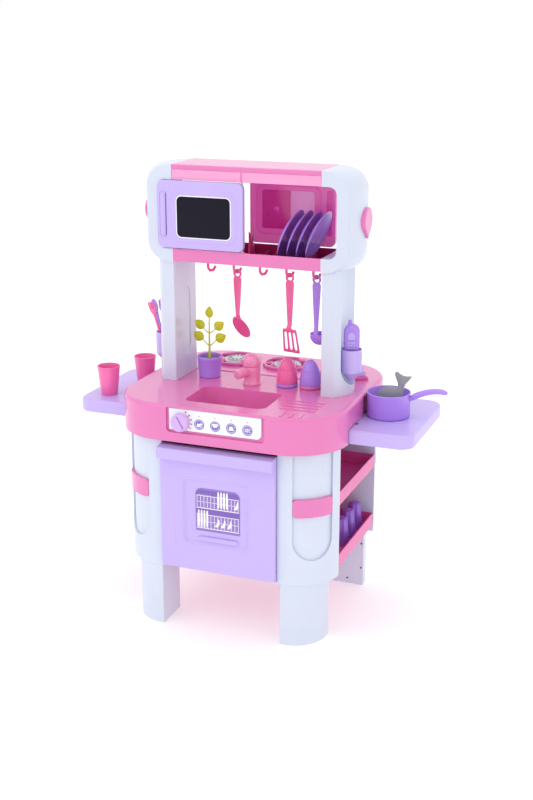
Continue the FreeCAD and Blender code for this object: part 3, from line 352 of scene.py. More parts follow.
def sweep(name, rows, material, body, slot, stands_for=(), place=None, side=(1, 0, 0), per=6, power=2.6,
          **extra):
    loops = sweep_loops(smoothed(rows, per), side, power=power)
    return loft(name, loops, material, body, slot, stands_for, place, **extra)


def rounded(u0, u1, v0, v1, radius, steps=6):
    """A rectangle's outline with rounded corners; radius is one number or (u0v0, u1v0, u1v1, u0v1)."""
    radii = radius if isinstance(radius, tuple) else (radius,) * 4
    corners = ((u0, v0, 1, 1, 180), (u1, v0, -1, 1, 270), (u1, v1, -1, -1, 0), (u0, v1, 1, -1, 90))
    points = []
    for (u, v, su, sv, start), r in zip(corners, radii):
        if r < 0.01:
            points.append((u, v))
            continue
        for k in range(steps + 1):
            turn = math.radians(start + 90 * k / steps)
            points.append((u + su * r + r * math.cos(turn), v + sv * r + r * math.sin(turn)))
    return points


def disc(u, v, radius, steps=28):
    return [(u + radius * math.cos(2 * math.pi * k / steps), v + radius * math.sin(2 * math.pi * k / steps))
            for k in range(steps)]


def plate_of(name, outline, y0, y1, material, body, slot, stands_for=(), place=None, bevel=0, **extra):
    """An upright plate: an outline in X and Z, from y0 at the front to y1 at the back."""
    loops = [[(u, y0, v) for u, v in outline], [(u, y1, v) for u, v in outline]]
    return loft(name, loops, material, body, slot, stands_for, place, bevel=bevel, **extra)


def decals(name, shapes, y, thick, material, body, slot, place=None):
    """Many thin flat shapes, printed marks and painted shade alike, joined into one mesh, standing proud of
    y by thick.
    """
    verts, faces = [], []
    for outline in shapes:
        first, count = len(verts), len(outline)
        verts += [(u, y - thick, v) for u, v in outline] + [(u, y, v) for u, v in outline]
        faces.append(tuple(range(first, first + count)))
        faces.append(tuple(reversed(range(first + count, first + 2 * count))))
        for i in range(count):
            j = (i + 1) % count
            faces.append((first + i, first + j, first + count + j, first + count + i))
    return add(name, verts, faces, material, body, slot, place=place)


def frame_ring(name, box, radius, profile, material, body, slot, place=None):
    """A soft frame on an upright face: (inset, y) steps round a rounded rectangle, closed behind."""
    u0, u1, v0, v1 = box
    loops = []
    for inset, y in profile:
        outline = rounded(u0 + inset, u1 - inset, v0 + inset, v1 - inset, max(1, radius - inset), 8)
        loops.append([(u, y, v) for u, v in outline])
    verts = [point for loop in loops for point in loop]
    faces = closed_ring_faces(len(loops), len(loops[0]))
    return add(name, verts, faces, material, body, slot, place=place, angle=50)


def stroke(u0, v0, u1, v1, half):
    """A thin bar's outline between two points."""
    along = Vector((u1 - u0, v1 - v0)).normalized() * half
    across = Vector((-along.y, along.x))
    a, b = Vector((u0, v0)), Vector((u1, v1))
    return [tuple(p) for p in (a - across, b - across, b + across, a + across)]


def annulus_wedges(u, v, inner, outer, start, end, pieces):
    """An arc band as one closed outline."""
    def at(radius, k):
        turn = math.radians(start + (end - start) * k / pieces)
        return (u + radius * math.cos(turn), v + radius * math.sin(turn))
    return [at(outer, k) for k in range(pieces + 1)] + [at(inner, k) for k in reversed(range(pieces + 1))]


# ---------------------------------------------------------------- the fixed kitchen

for node, material, width in (
        ("leg_front_left", "white", 1.5), ("leg_front_right", "white", 1.5), ("leg_rear_left", "white", 1.5),
        ("leg_rear_right", "white", 1.5), ("feet", "white", 1.2),
        ("casing", "deep_pink", 0.8), ("shelf_upper_left", "shelf_pink", 1.0),
        ("shelf_upper_right", "shelf_pink", 1.0), ("shelf_lower_left", "shelf_pink", 1.0),
        ("shelf_lower_right", "shelf_pink", 1.0), ("flap_left", "lilac", 1.5), ("flap_right", "lilac", 1.5),
        ("column_left", "white", 1.5), ("column_right", "white", 1.5), ("cabinet_top", "pink", 1.2),
        ("cabinet_shelf", "pink", 1.0), ("dishwasher_door", "lilac", 1.5), ("oven_door", "lilac", 1.5),
        ("cabinet_door_front", "lilac", 1.5), ("cabinet_door_rear", "clear_pink", 1.5),
        ("countertop", "pink", 1.2), ("control_panel_front", "panel", 0.8),
        ("control_panel_rear", "panel", 0.8), ("cabinet_end_left", "white", 5.0),
        ("cabinet_end_right", "white", 5.0), ("column_pocket_left", "lilac", 0.8),
        ("column_pocket_right", "lilac", 0.8), ("control_knob_front", "knob", 1.0),
        ("control_knob_rear", "knob", 1.0)):
    eased(node, material, width)
for node, material in (("door_hinge_rods", "steel"), ("flap_hinge_rods", "steel"),
                       ("cabinet_hinge_pins", "steel"), ("hooks", "tool_pink"), ("cabinet_grips", "pink"),
                       ("leg_inserts", "pink"),
                       ("plate_racks", "floor_magenta")):
    paint(node, material)


# ---------------------------------------------------------------- loose things

def cup(name, x, y, stands_for=()):
    profile = [(0, 1.2), (16.5, 1.2), (17.4, 0), (18.6, 0), (19, 1), (21.3, 22), (23.4, 42), (25.2, 62.5),
               (26, 63.2), (26, 66), (25.4, 66.5), (24.2, 66.5), (23.6, 65), (21.6, 45), (19.4, 22),
               (17.4, 4), (15.5, 2.6), (0, 2.6)]
    lathe(name, profile, "rose", "cups", "cup_pink", stands_for, placed(x, y, FLAP_TOP))


cup("cup_front", -338, -62, ["cups"])
cup("cup_back", -299, 45)


def plate(index, stands_for=()):
    """One of the plates standing in the rack, leaning to the right."""
    profile = [(0, 0), (34.5, 0), (36, 0.4), (44, 3.3), (52, 6.6), (56.8, 9), (57.5, 9.8), (57.2, 10.6),
               (56.2, 10.8), (50, 8.2), (42, 5), (35, 2.4), (32, 2), (0, 2)]
    shift = 58.5
    lean = math.radians(22.5)
    lathe(f"plate_{index}", profile, "purple", "plates", "purple", stands_for,
          placed(48 + 21 * index + shift * math.sin(lean), 0, 805 + shift * math.cos(lean),
                 rotation("Y", 112.5)), steps=72)


for index in range(4):
    plate(index, ["plates"] if index == 0 else ())


# saucepan
PAN = (303, 11, FLAP_TOP)
PAN_LOOK = ("purple", "saucepan", "purple")
lathe("saucepan_bowl", [(0, 0), (42, 0), (45.5, 1.2), (47, 4.5), (47, 50), (47.6, 51), (47.6, 53.2),
                        (46.8, 54), (45.4, 54), (44.6, 52), (44.6, 6), (43, 3), (40, 2), (0, 2)],
      *PAN_LOOK, ["saucepan"], placed(*PAN), steps=80)
PAN_HANDLE = placed(*PAN, rotation("Z", 5))
sweep("saucepan_socket", [(43, 0, 41, 7.5, 5.5), (47, 0, 42, 7.6, 5.6), (53, 0, 44, 7.4, 5.4),
                          (57, 0, 46, 6.4, 4.6)],
      *PAN_LOOK, place=PAN_HANDLE, side=(0, 1, 0))
sweep("saucepan_handle", [(51, 0, 44, 7, 4.6), (55, 0, 46.5, 8.6, 6.4), (66, 0, 52, 9, 6.6),
                          (82, 0, 58, 8.8, 6.2), (98, 0, 61.5, 8.8, 5.8), (112, 0, 62, 9, 5.2),
                          (121, 0, 60.4, 8.4, 4.4), (125.5, 0, 59.2, 5, 3), (127, 0, 58.8, 1.5, 1)],
      *PAN_LOOK, place=PAN_HANDLE, side=(0, 1, 0), power=2.4)
# A dark disc on the solid handle: painted shade where the hanging hole is.
lathe("saucepan_eye_shade", [(0, 0), (3.4, 0), (3.6, 0.5), (2.2, 0.9), (0, 0.9)], "dark_purple", "saucepan",
      "purple", place=PAN_HANDLE @ placed(116, 0, 65.6), steps=24)


FISH_LOOK = ("grey", "toy_fish", "grey")


def build_fish():
    """A plain fish standing in the pan: a flattened, hump-backed body and a forked tail."""
    place = placed(302, 15, 475, rotation("Z", -10))
    back = [(-35, 30, 3), (-33, 36, 5), (-27, 46, 6.6), (-16, 57, 7.6), (-4, 63.4, 8), (6, 64.8, 8),
            (14, 63, 7.4), (20, 64.5, 6.4), (24, 70, 5), (26, 76, 3.8), (27, 79, 3)]
    belly = [(-35, 28), (-30, 12), (-22, 5), (-10, 1), (2, 0.5), (14, 3), (24, 9), (31, 19), (34, 31),
             (34.4, 44), (35, 50)]
    loops, steps = [], 12
    for (u0, v0, thick), (u1, v1) in zip(back, belly):
        loop = []
        for k in range(steps):
            turn = 2 * math.pi * k / steps
            t = 0.5 - 0.5 * math.cos(turn)
            loop.append((u0 + (u1 - u0) * t, thick * math.sin(turn), v0 + (v1 - v0) * t))
        loops.append(loop)
    loft("fish_trunk", loops, *FISH_LOOK, ["toy_fish"], place, subdiv=1, angle=60)
    tail = [(22, 66), (21, 73), (17, 82), (14, 90), (14.5, 95.4), (18, 97), (24, 93.5), (32, 90), (42, 89.5),
            (51, 91.5), (52.4, 90), (49, 84), (43, 77), (38, 71), (35.4, 64), (35, 56), (28, 58)]
    plate_of("fish_tail", tail, -2.6, 2.6, *FISH_LOOK, place=place, bevel=1.6, segments=4)
    fin = [(-12, 54), (-2, 61), (8, 62), (12, 58), (0, 50)]
    plate_of("fish_fin", fin, -1.6, 1.6, *FISH_LOOK, place=place, bevel=0.8)


build_fish()

# potted plant
POT_X, POT_Y = -117, 8
POT = placed(POT_X, POT_Y, COUNTER_REST)
lathe("pot_shell", [(0, 0), (23, 0), (24.4, 1.4), (25.4, 14), (27.2, 40), (27.6, 40.6), (28, 46.8),
                    (27.4, 48), (26, 48), (25.2, 46.8), (24.6, 41), (0, 41)],
      "purple", "potted_plant", "purple", ["plant_pot"], POT)
lathe("pot_soil", [(0, 43.5), (12, 43), (22, 41.6), (24.4, 41)], "soil", "potted_plant", "purple", place=POT)


def leaf(name, x, z, length, wide, degrees, stands_for=()):
    """A cupped leaf with a raised midrib and side veins, growing from (x, z) at an angle to the vertical."""
    across, along = 10, 14
    verts, faces = [], []
    for face_side in (1, -1):
        for i in range(along + 1):
            t = i / along
            half = wide * math.sin(math.pi * t ** 0.82) ** 0.85 if 0 < t < 1 else 0.2
            for k in range(across + 1):
                s = 2 * k / across - 1
                cup_depth = 1.8 * s * s - 1.2 * math.sin(math.pi * t)
                rib = 0.7 * max(0, 1 - abs(s) * 5)
                vein = 0.22 * max(0, math.sin((t * 6 - abs(s) * 1.4) * 2 * math.pi))
                verts.append((s * half, cup_depth + face_side * (0.7 + rib + vein), t * length))
    width = across + 1
    sheet = (along + 1) * width
    for i in range(along):
        for k in range(across):
            a = i * width + k
            faces.append((a, a + 1, a + 1 + width, a + width))
            faces.append((sheet + a, sheet + a + width, sheet + a + 1 + width, sheet + a + 1))
    rim = (list(range(across)) + [i * width + across for i in range(along)]
           + [along * width + k for k in range(across, 0, -1)] + [i * width for i in range(along, 0, -1)])
    for a, b in zip(rim, rim[1:] + rim[:1]):
        faces.append((a, sheet + a, sheet + b, b))
    add(name, verts, faces, "lime", "potted_plant", "lime", stands_for,
        placed(POT_X + x, POT_Y, COUNTER_REST + z, rotation("Y", degrees)), angle=60)


leaf("leaf_top", 0, 134, 27, 9.6, 0)
for side, name in ((-1, "left"), (1, "right")):
    leaf(f"leaf_upper_{name}", side * 13, 110, 27, 11.4, side * 52)
    leaf(f"leaf_lower_{name}", side * 15, 84, 28, 12, side * 60)
LEAF_LOOK = ("lime", "potted_plant", "lime")
sweep("plant_stem", [(0, 0, 41, 4.6, 4.6), (0, 0, 48, 3.6, 3.6), (0, 0, 60, 2.6, 2.6), (0, 0, 100, 1.9, 1.9),
                     (0, 0, 138, 1.2, 1.2)], *LEAF_LOOK, ["plant"], POT, power=2)
for side, name in ((-1, "left"), (1, "right")):
    sweep(f"twig_upper_{name}", [(0, 0, 99, 1.4, 1.4), (side * 5, 0, 102, 1.4, 1.4),
                                 (side * 10, 0, 106, 1.2, 1.2), (side * 16, 0, 112, 1, 1)],
          *LEAF_LOOK, place=POT, side=(0, 1, 0), power=2)
    sweep(f"twig_lower_{name}", [(0, 0, 70, 1.5, 1.5), (side * 6, 0, 74, 1.5, 1.5),
                                 (side * 12, 0, 80, 1.2, 1.2), (side * 18, 0, 86, 1, 1)],
          *LEAF_LOOK, place=POT, side=(0, 1, 0), power=2)


def shaker(name, x, y, top, base, body, slot, stands_for):
    """An egg-shaped shaker: a ring base, a body with a seam, and a capped top whose pouring holes are dark
    dots of painted shade.
    """
    place = placed(x, y, COUNTER_REST)
    shell = [(21.5, 7.2), (23.2, 7.8), (23.8, 10), (23.2, 18), (21.8, 28), (20.2, 36), (19.4, 38.2),
             (19.6, 38.9), (18.6, 43), (16, 50), (12.4, 56.6), (8.4, 61), (4.4, 63), (0, 63.5)]
    lathe(f"{name}_shell", [(0, 7.2), *shell], top, body, slot, stands_for, place)
    ring = [(0, 0), (21.5, 0), (23.4, 0.8), (24, 2.4), (24, 5.4), (23.4, 7), (22.4, 7.6), (0, 7.6)]
    lathe(f"{name}_ring", ring, base, body, "pink" if base == "pink" else "purple", place=place)
    # The pouring holes are small dark plugs: painted shade where the holes are, not openings.
    for k in range(5):
        turn = math.radians(18 + 72 * k)
        u, v = 4.4 * math.cos(turn), 4.4 * math.sin(turn)
        lathe(f"{name}_hole_{k}", [(0, 61.5), (1.1, 61.5), (1.1, 63.05), (0, 63.15)], "hole", body, slot,
              place=placed(x + u, y + v, COUNTER_REST), steps=12)


shaker("shaker_pink", 74, -3, "tool_pink", "purple", "shaker_pink", "pink", ["shaker_pink"])
shaker("shaker_purple", 127, 1, "purple", "pink", "shaker_purple", "purple", ["shaker_purple"])

# ---------------------------------------------------------------- hanging tools

HOOK_TURN = math.radians(-30)


def hook_place(index):
    """The wire centre at the bottom of a hook, turned the way the tools hang."""
    return placed((index - 2) * 62 - 10 * math.sin(HOOK_TURN), 22 + 10 * math.cos(HOOK_TURN), 757.5,
                  rotation("Z", -12))


def tool_handle(name, index, material, body, slot, end, low_half, stands_for=()):
    """A tapered flat handle with a round eye at its top."""
    place = hook_place(index)
    eye_z = -2.9
    loops = []
    steps = 40
    for radius, thick in ((6.5, 1.4), (6.9, 2.0), (9.9, 2.0), (10.5, 1.4), (10.5, -1.4), (9.9, -2.0),
                          (6.9, -2.0), (6.5, -1.4)):
        loops.append([(radius * math.cos(2 * math.pi * k / steps), thick,
                       eye_z + radius * math.sin(2 * math.pi * k / steps)) for k in range(steps)])
    verts = [point for loop in loops for point in loop]
    add(f"{name}_eye", verts, closed_ring_faces(len(loops), steps), material, body, slot, stands_for, place)
    rows = [(0, 0, -11.2, 8.4, 2), (0, 0, -16, 10.2, 2.1), (0, 0, -26, 9.9, 2.2),
            (0, 0, -(26 + end) / 2, (9.9 + low_half) / 2, 2.3), (0, 0, -end + 8, low_half, 2.4),
            (0, 0, -end, low_half * 0.96, 2.4)]
    sweep(f"{name}_handle", rows, material, body, slot, place=place, power=4)
    rib = [(0, -2, -24, 2.2, 0.6), (0, -2.4, -30, 3.0, 0.9), (0, -2.5, -end * 0.6, 2.6, 0.9),
           (0, -2.5, -end + 10, 2.0, 0.8)]
    sweep(f"{name}_rib", rib, material, body, slot, place=place, power=2)
    return place


def dished(name, material, body, slot, place, long, wide, deep, wall=1.8, rings=9, steps=44):
    """A spoon bowl: an oval dish in the local XZ plane, hollow towards -Y."""
    verts = [(0, deep, 0)]
    outer = []
    for r in range(1, rings + 1):
        q = r / rings
        for k in range(steps):
            turn = 2 * math.pi * k / steps
            verts.append((q * wide * math.cos(turn), deep * (1 - q * q), q * long * math.sin(turn)))
        outer.append(len(verts) - steps)
    inner_centre = len(verts)
    verts.append((0, deep - wall, 0))
    inner = []
    for r in range(1, rings + 1):
        q = r / rings
        shrink = 1 - 0.05 * q
        for k in range(steps):
            turn = 2 * math.pi * k / steps
            verts.append((q * wide * shrink * math.cos(turn), deep * (1 - q * q) - wall,
                          q * long * shrink * math.sin(turn)))
        inner.append(len(verts) - steps)
    faces = []
    for k in range(steps):
        j = (k + 1) % steps
        faces.append((0, outer[0] + k, outer[0] + j))
        faces.append((inner_centre, inner[0] + j, inner[0] + k))
        for rows in (outer, inner):
            for a, b in zip(rows, rows[1:]):
                faces.append((a + k, b + k, b + j, a + j))
        faces.append((outer[-1] + k, inner[-1] + k, inner[-1] + j, outer[-1] + j))
    add(name, verts, faces, material, body, slot, place=place)


def build_spoon():
    place = tool_handle("spoon", 1, "tool_pink", "spoon", "pink", 96, 5.2, ["spoon"])
    sweep("spoon_neck", [(0, 0, -92, 5.2, 2.4), (0, 0.6, -98, 5, 2.5), (0, 3, -104, 6, 2.4),
                         (0, 8, -112, 7, 2), (0, 13, -120, 5, 1.4)],
          "tool_pink", "spoon", "pink", place=place, power=2.4)
    tilt = rotation("X", 36)
    dished("spoon_bowl", "tool_pink", "spoon", "pink", place @ placed(0, 14.5, -128, tilt), 35, 20, 7)


def build_turner():
    place = tool_handle("turner", 3, "tool_pink", "turner", "pink", 112, 5.4, ["turner"])
    sweep("turner_neck", [(0, 0, -108, 5.4, 2.4), (0, -2.5, -114, 5.6, 2.4), (0, -3, -119, 9, 2.2),
                          (0, -1.5, -124, 14, 1.8)], "tool_pink", "turner", "pink", place=place, power=3)
    us = [-20, -14.6, -8.6, -3, 3, 8.6, 14.6, 20]
    vs = [0, -8, -14, -27, -40, -51, -58]
    verts = []
    for y in (-1.4, 1.4):
        verts += [(u * (0.9 + 0.2 * (v / -58)), y, v) for v in vs for u in us]
    cols, sheet = len(us), len(us) * len(vs)
    solid = [(r, c) for r in range(len(vs) - 1) for c in range(cols - 1)
             if not (c in (1, 3, 5) and 1 <= r <= 4)]
    faces, edges = [], {}
    for r, c in solid:
        a = r * cols + c
        quad = (a, a + 1, a + 1 + cols, a + cols)
        faces.append(quad)
        faces.append(tuple(i + sheet for i in reversed(quad)))
        for p, q in zip(quad, quad[1:] + quad[:1]):
            edges[(p, q)] = (q, p) not in edges
            if (q, p) in edges:
                edges[(q, p)] = edges[(p, q)] = False
    faces += [(q, p, p + sheet, q + sheet) for (p, q), open_edge in edges.items() if open_edge]
    add("turner_blade", verts, faces, "tool_pink", "turner", "pink",
        place=place @ placed(0, -1.5, -118, rotation("X", 11.5)), subdiv=2)


def build_ladle():
    place = tool_handle("ladle", 4, "purple", "ladle", "purple", 104, 5.4, ["ladle"])
    sweep("ladle_neck", [(0, 0, -100, 5.4, 2.4), (0, 0, -110, 5.2, 2.5), (0, -1.5, -120, 6, 2.4),
                         (0, -3.8, -130, 7, 1.8)], "purple", "ladle", "purple", place=place, power=2.4)
    arc = [(22 * math.sin(math.radians(a)), -22 * math.cos(math.radians(a))) for a in range(0, 98, 7)]
    rim = [(22.2, 3.4), (21.6, 4), (20.6, 4), (20, 3)]
    inside = [(20 * math.sin(math.radians(a)), -20 * math.cos(math.radians(a))) for a in range(91, -1, -7)]
    lathe("ladle_bowl", arc + rim + inside, "purple", "ladle", "purple", place=place @ placed(0, 16, -130))


build_spoon()
build_turner()
build_ladle()


# ---------------------------------------------------------------- things in the column pockets

def build_cutlery():
    """Three small forks and a spoon leaning in the left pocket."""
    tools = ((1, -6, -13, -8, "tool_pink", "fork"), (5, -2, -5, -3, "purple", "fork"),
             (-2, 0, -14, 2, "purple", "spoon"), (1, 8, -9, 8, "tool_pink", "fork"))
    for k, (dx, dy, lean, tip, material, kind) in enumerate(tools):
        turn = rotation("X", -tip) @ rotation("Y", lean) @ rotation("Z", -20)
        place = placed(-220.5 + dx, dy, POCKET_FLOOR, turn)
        slot = "purple" if material == "purple" else "cup_pink"
        stands = ["cutlery"] if k == 0 else ()
        sweep(f"cutlery_{k}_stem", [(0, 0, 0, 3.2, 1.6), (0, 0, 4, 3.4, 2), (0, 0, 40, 3.4, 2),
                                    (0, 0, 78, 3.4, 1.8), (0, 0, 92, 4.8, 1.5)],
              material, "cutlery", slot, stands, place, power=3)
        if kind == "spoon":
            dished(f"cutlery_{k}_head", material, "cutlery", slot, place @ placed(0, -2, 105), 17, 10.6, 4,
                   wall=1.2)
            continue
        outline = [(-4, 90), (4, 90), (9, 97), (10.4, 104), (10.4, 119), (8.4, 121), (7, 119), (6.8, 105),
                   (4.2, 105), (4.0, 121), (1.4, 121.4), (1.2, 105), (-1.2, 105), (-1.4, 121.4), (-4.0, 121),
                   (-4.2, 105), (-6.8, 105), (-7, 119), (-8.4, 121), (-10.4, 119), (-10.4, 104), (-9, 97)]
        plate_of(f"cutlery_{k}_head", outline, -1.3, 1.3, material, "cutlery", slot, place=place, bevel=0.7)


def build_phone():
    """An arched toy handset with a stub, a framed face, a screen and a key pad."""
    place = placed(220.5, 0, POCKET_FLOOR, rotation("Z", 15))
    case_look = ("purple", "toy_phone", "purple")
    print_look = ("lilac", "toy_phone", "purple")
    plate_of("phone_body", rounded(-17, 17, 0, 102, (3, 3, 16.5, 16.5), 10), -5, 8, *case_look,
             ["toy_phone"], place, bevel=2.4, segments=4)
    plate_of("phone_face", rounded(-14.4, 14.4, 10, 98.6, (3, 3, 14.2, 14.2), 10), -8, -4,
             "lilac_deep", "toy_phone", "purple", place=place, bevel=1.4, segments=4)
    sweep("phone_stub", [(-4, 3, 96, 4.5, 4.5), (-4, 3, 105, 4.4, 4.4), (-4, 3, 108.6, 3.8, 3.8),
                         (-4, 3, 110, 2, 2)], *case_look, place=place, power=2)
    plate_of("phone_frame", rounded(-10.6, 10.6, 44, 94, (2, 2, 10.4, 10.4), 10), -8.4, -7.4, *case_look,
             place=place, bevel=0.3)
    keys = [rounded(-8.2 + 5.8 * column, -3.6 + 5.8 * column, 48 + 6 * row, 52 + 6 * row, 1)
            for column in range(3) for row in range(3)]
    decals("phone_keys", keys, -8.4, 0.5, *print_look, place)
    decals("phone_screen", [rounded(-7.4, 7.4, 69, 84, (2, 2, 7, 7))], -8.4, 0.3, *print_look, place)


build_cutlery()
build_phone()


# ---------------------------------------------------------------- iron and beakers

def build_iron():
    """A toy iron: a sole plate, two stepped upper shells and an arched handle."""
    place = placed(172, 100, 520.3)
    sole = [(-58, 0)] + [(-56, 20), (-46, 25), (-20, 25), (10, 22), (38, 13), (56, 3), (60, 0), (56, -3),
                         (38, -13), (10, -22), (-20, -25), (-46, -25), (-56, -20)]
    for name, low, high, shrink, material, slot in (
            ("iron_sole", 0, 7.5, 1, "shelf_pink", "lilac"), ("iron_skirt", 7.5, 20, 0.9, "lilac", "lilac"),
            ("iron_shoulder", 20, 33, 0.78, "lilac", "lilac")):
        loops = [[(u * shrink, v * shrink, low) for u, v in sole],
                 [(u * shrink * 0.97, v * shrink * 0.95, high) for u, v in sole]]
        loft(name, loops, material, "toy_iron", slot, ["toy_iron"] if name == "iron_sole" else (), place,
             bevel=2, segments=4, angle=60)
    sweep("iron_handle", [(-34, 0, 28, 7, 6), (-36, 0, 42, 7, 6), (-28, 0, 54, 7.5, 6), (-8, 0, 57, 8, 5),
                          (14, 0, 54, 8, 5), (30, 0, 44, 7, 6), (34, 0, 28, 7, 6)],
          "lilac", "toy_iron", "lilac", place=place, side=(0, 1, 0))


def build_beakers():
    """Three upturned fluted beakers in a row on the lower right tray."""
    for index in range(3):
        verts, steps = [], 72
        rows = [(20, 0), (20, 2), (18.6, 5), (17.4, 25), (15.6, 45), (14, 57), (12, 61), (8, 62)]
        for radius, height in rows:
            for k in range(steps):
                turn = 2 * math.pi * k / steps
                flute = 1 - 0.1 * (0.5 - 0.5 * math.cos(8 * turn)) * min(1, max(0, (height - 2) / 8))
                verts.append((radius * flute * math.cos(turn), radius * flute * math.sin(turn), height))
        faces = ring_faces(len(rows), steps)
        faces.append(tuple(range(len(verts) - steps, len(verts))))
        faces.append(tuple(reversed(range(steps))))
        add(f"beaker_{index}", verts, faces, "dark_purple", "beakers", "purple",
            ["beakers"] if index == 0 else (), placed(206, -5 + 50 * index, TRAY_REST), angle=60)


build_iron()
build_beakers()


# ---------------------------------------------------------------- tap and hob

TAP = placed(-4, -17, DECK_TOP)
TAP_SIDE = TAP @ rotation("Z", -20)
lathe("tap_column", [(0, 0), (19.4, 0), (20, 0.8), (20, 4), (19.2, 4.8), (18.6, 6), (18.6, 28), (19.2, 38),
                     (18.6, 41.2), (17.4, 42), (0, 42)], "tap_pink", "kitchen", "pink", ["tap_body"], TAP)
sweep("tap_spout", [(0, -6, 31, 10.5, 10.5), (0, -20, 31, 10.5, 10.5), (0, -40, 31, 10.5, 10.5),
                    (0, -47, 31, 10.5, 10.5), (0, -49.4, 31, 9.6, 9.6), (0, -49.8, 31, 7.6, 7.6),
                    (0, -48.2, 31, 6.8, 6.8), (0, -48, 31, 2, 2)],
      "tap_pink", "kitchen", "pink", place=TAP_SIDE, power=2, per=3)
lathe("tap_top", [(0, 42.3), (18.4, 42.3), (19.8, 43.6), (20, 47), (19.8, 52), (18.6, 58), (16, 63.4),
                  (12, 67.6), (6.5, 70.3), (0, 71.2)], "tap_pink", "tap_knob", "pink", ["tap_knob"], TAP)
lathe("tap_button", [(0, 0), (6.2, 0), (6, 3.2), (4.6, 4.6), (0, 5)], "tap_pink", "tap_knob", "pink",
      place=placed(-4, -33.4, 571.4, rotation("X", 90)), steps=28)


def build_hob():
    """Two slotted burners, each with a ringed pan support of four bent wires."""
    for index, x in enumerate((-108, 17)):
        place = placed(x, 150, 520)
        profile = [(0, 0), (33, 0), (34, 0.8), (34, 3), (33, 4), (30.4, 4), (30, 3.2), (28.6, 3.2),
                   (28.2, 4), (24, 4.2), (23.4, 6.2), (22, 8), (12, 8), (11, 7), (0, 7)]
        lathe(f"burner_{index}", profile, "silver", "kitchen", "silver",
              ["burners"] if index == 0 else (), place)
        # The slots are thin dark decals on the solid burner: painted shade where the openings are.
        teeth = [annulus_wedges(0, 0, 13, 21, 12 + 30 * k, 24 + 30 * k, 4) for k in range(12)]
        decals(f"burner_slot_shade_{index}", teeth, 0, 0.3, "hole", "kitchen", "silver",
               place @ placed(0, 0, 8, rotation("X", -90)))
        for k in range(4):
            turn = rotation("Z", 45 + 90 * k)
            rows = [(54, -9, 4, 4, 3.4), (50, -13, 4, 4, 3.4), (40, -8, 7, 4, 4), (36, 0, 8, 4, 4),
                    (40, 8, 7, 4, 4), (50, 13, 4, 4, 3.4), (54, 9, 4, 4, 3.4)]
            sweep(f"support_{index}_{k}", rows, "pink", "kitchen", "pink",
                  ["pan_supports"] if index + k == 0 else (), place @ turn, side=(0, 0, 1), power=2)
        hoop = [(49, 0), (54.4, 0), (55, 0.8), (55, 6), (54, 7), (50, 7), (49, 6.2), (49, 0)]
        lathe(f"support_hoop_{index}", hoop, "pink", "kitchen", "pink", place=place, steps=72)


build_hob()


# ---------------------------------------------------------------- panel prints and windows

def mirrored_pair(build):
    """Build a printed piece on the sink side and its twin on the hob side."""
    build("front", Matrix.Identity(4))
    build("rear", HALF_TURN)


def panel_prints(where, place):
    """The printed icon discs, their rims and icons, and the red marks round the knob."""
    discs, rims, marks = [], [], []
    for k in range(4):
        u = -35 + 36.2 * k
        discs.append(disc(u, 486, 11.2, 36))
        marks.append(disc(u, 503.5, 1.1, 12))
        rims.append(annulus_wedges(u, 486, 8.4, 9.2, 0, 350, 36))
    icons = [
        [rounded(-41, -29, 481, 483.2, 1), rounded(-39.5, -33, 483.5, 488, 1.4), disc(-30.6, 487, 2.6, 14)],
        [annulus_wedges(1.2, 489.5, 0.1, 6.2, 180, 360, 14), rounded(-5, 7.4, 489.6, 491.6, 0.8)],
        [rounded(32, 43, 481.5, 485, 1.4), annulus_wedges(37.4, 485.6, 0.1, 5, 0, 180, 14)],
        [stroke(67.5, 483.5, 79.5, 483.5, 0.7), stroke(67.5, 486.2, 79.5, 486.2, 0.7),
         stroke(67.5, 488.9, 79.5, 488.9, 0.7), stroke(73.6, 480.6, 73.6, 491.6, 0.6)],
    ]
    for k, degrees in enumerate([64, 40, 16, -8, -32, -54]):
        size = 2.0 - 0.16 * k
        c, s = math.cos(math.radians(degrees)), math.sin(math.radians(degrees))
        marks.append(disc(KNOB_X + 24 * c, KNOB_Z + 24 * s, size, 14))
        if k:
            marks.append(stroke(KNOB_X + 19 * c, KNOB_Z + 19 * s,
                                KNOB_X + 21.6 * c, KNOB_Z + 21.6 * s, 0.7))
    decals(f"panel_discs_{where}", discs, PANEL_FACE, 0.25, "icon", "kitchen", "white", place)
    decals(f"panel_rims_{where}", rims, PANEL_FACE - 0.25, 0.15, "line", "kitchen", "white", place)
    decals(f"panel_icons_{where}", [shape for group in icons for shape in group], PANEL_FACE - 0.25, 0.2,
           "line", "kitchen", "white", place)
    decals(f"panel_marks_{where}", marks, PANEL_FACE, 0.25, "red", "kitchen", "white", place)


def knob_sleeve(where, place):
    """The ribbed skirt, domed face and diagonal grip of a control knob."""
    body = NODE_BODY[f"control_knob_{where}"]
    steps, ribs, rib_depth = 168, 28, 0.45
    loops = []
    for radius, y in ((16, -236.6), (19.2, -236.6), (19.4, -238), (19, -249.6), (17.8, -250.8), (14, -251.4),
                      (7, -251.8)):
        ridge = rib_depth if radius > 18 else 0
        loop = []
        for k in range(steps):
            turn = 2 * math.pi * k / steps
            reach = radius + ridge * math.cos(ribs * turn)
            loop.append((KNOB_X + reach * math.cos(turn), y, KNOB_Z + reach * math.sin(turn)))
        loops.append(loop)
    loft(f"knob_skirt_{where}", loops, "knob", body, "lilac", place=place)
    grip = placed(KNOB_X, 0, KNOB_Z, rotation("Y", 60))
    plate_of(f"knob_bar_{where}", rounded(-15.6, 15.6, -3.4, 3.4, 3.2, 8), -256, -250, "knob", body, "lilac",
             place=place @ grip, bevel=1.2)
    # Dark strips along both sides of the grip bar: painted shade in the creases beside it.
    groove_shade = [stroke(-14, 4.7, 14, 4.7, 0.6), stroke(-14, -4.7, 14, -4.7, 0.6)]
    decals(f"knob_groove_shade_{where}", groove_shade, -251.3, 0.7, "dark_purple", body, "lilac", place @ grip)


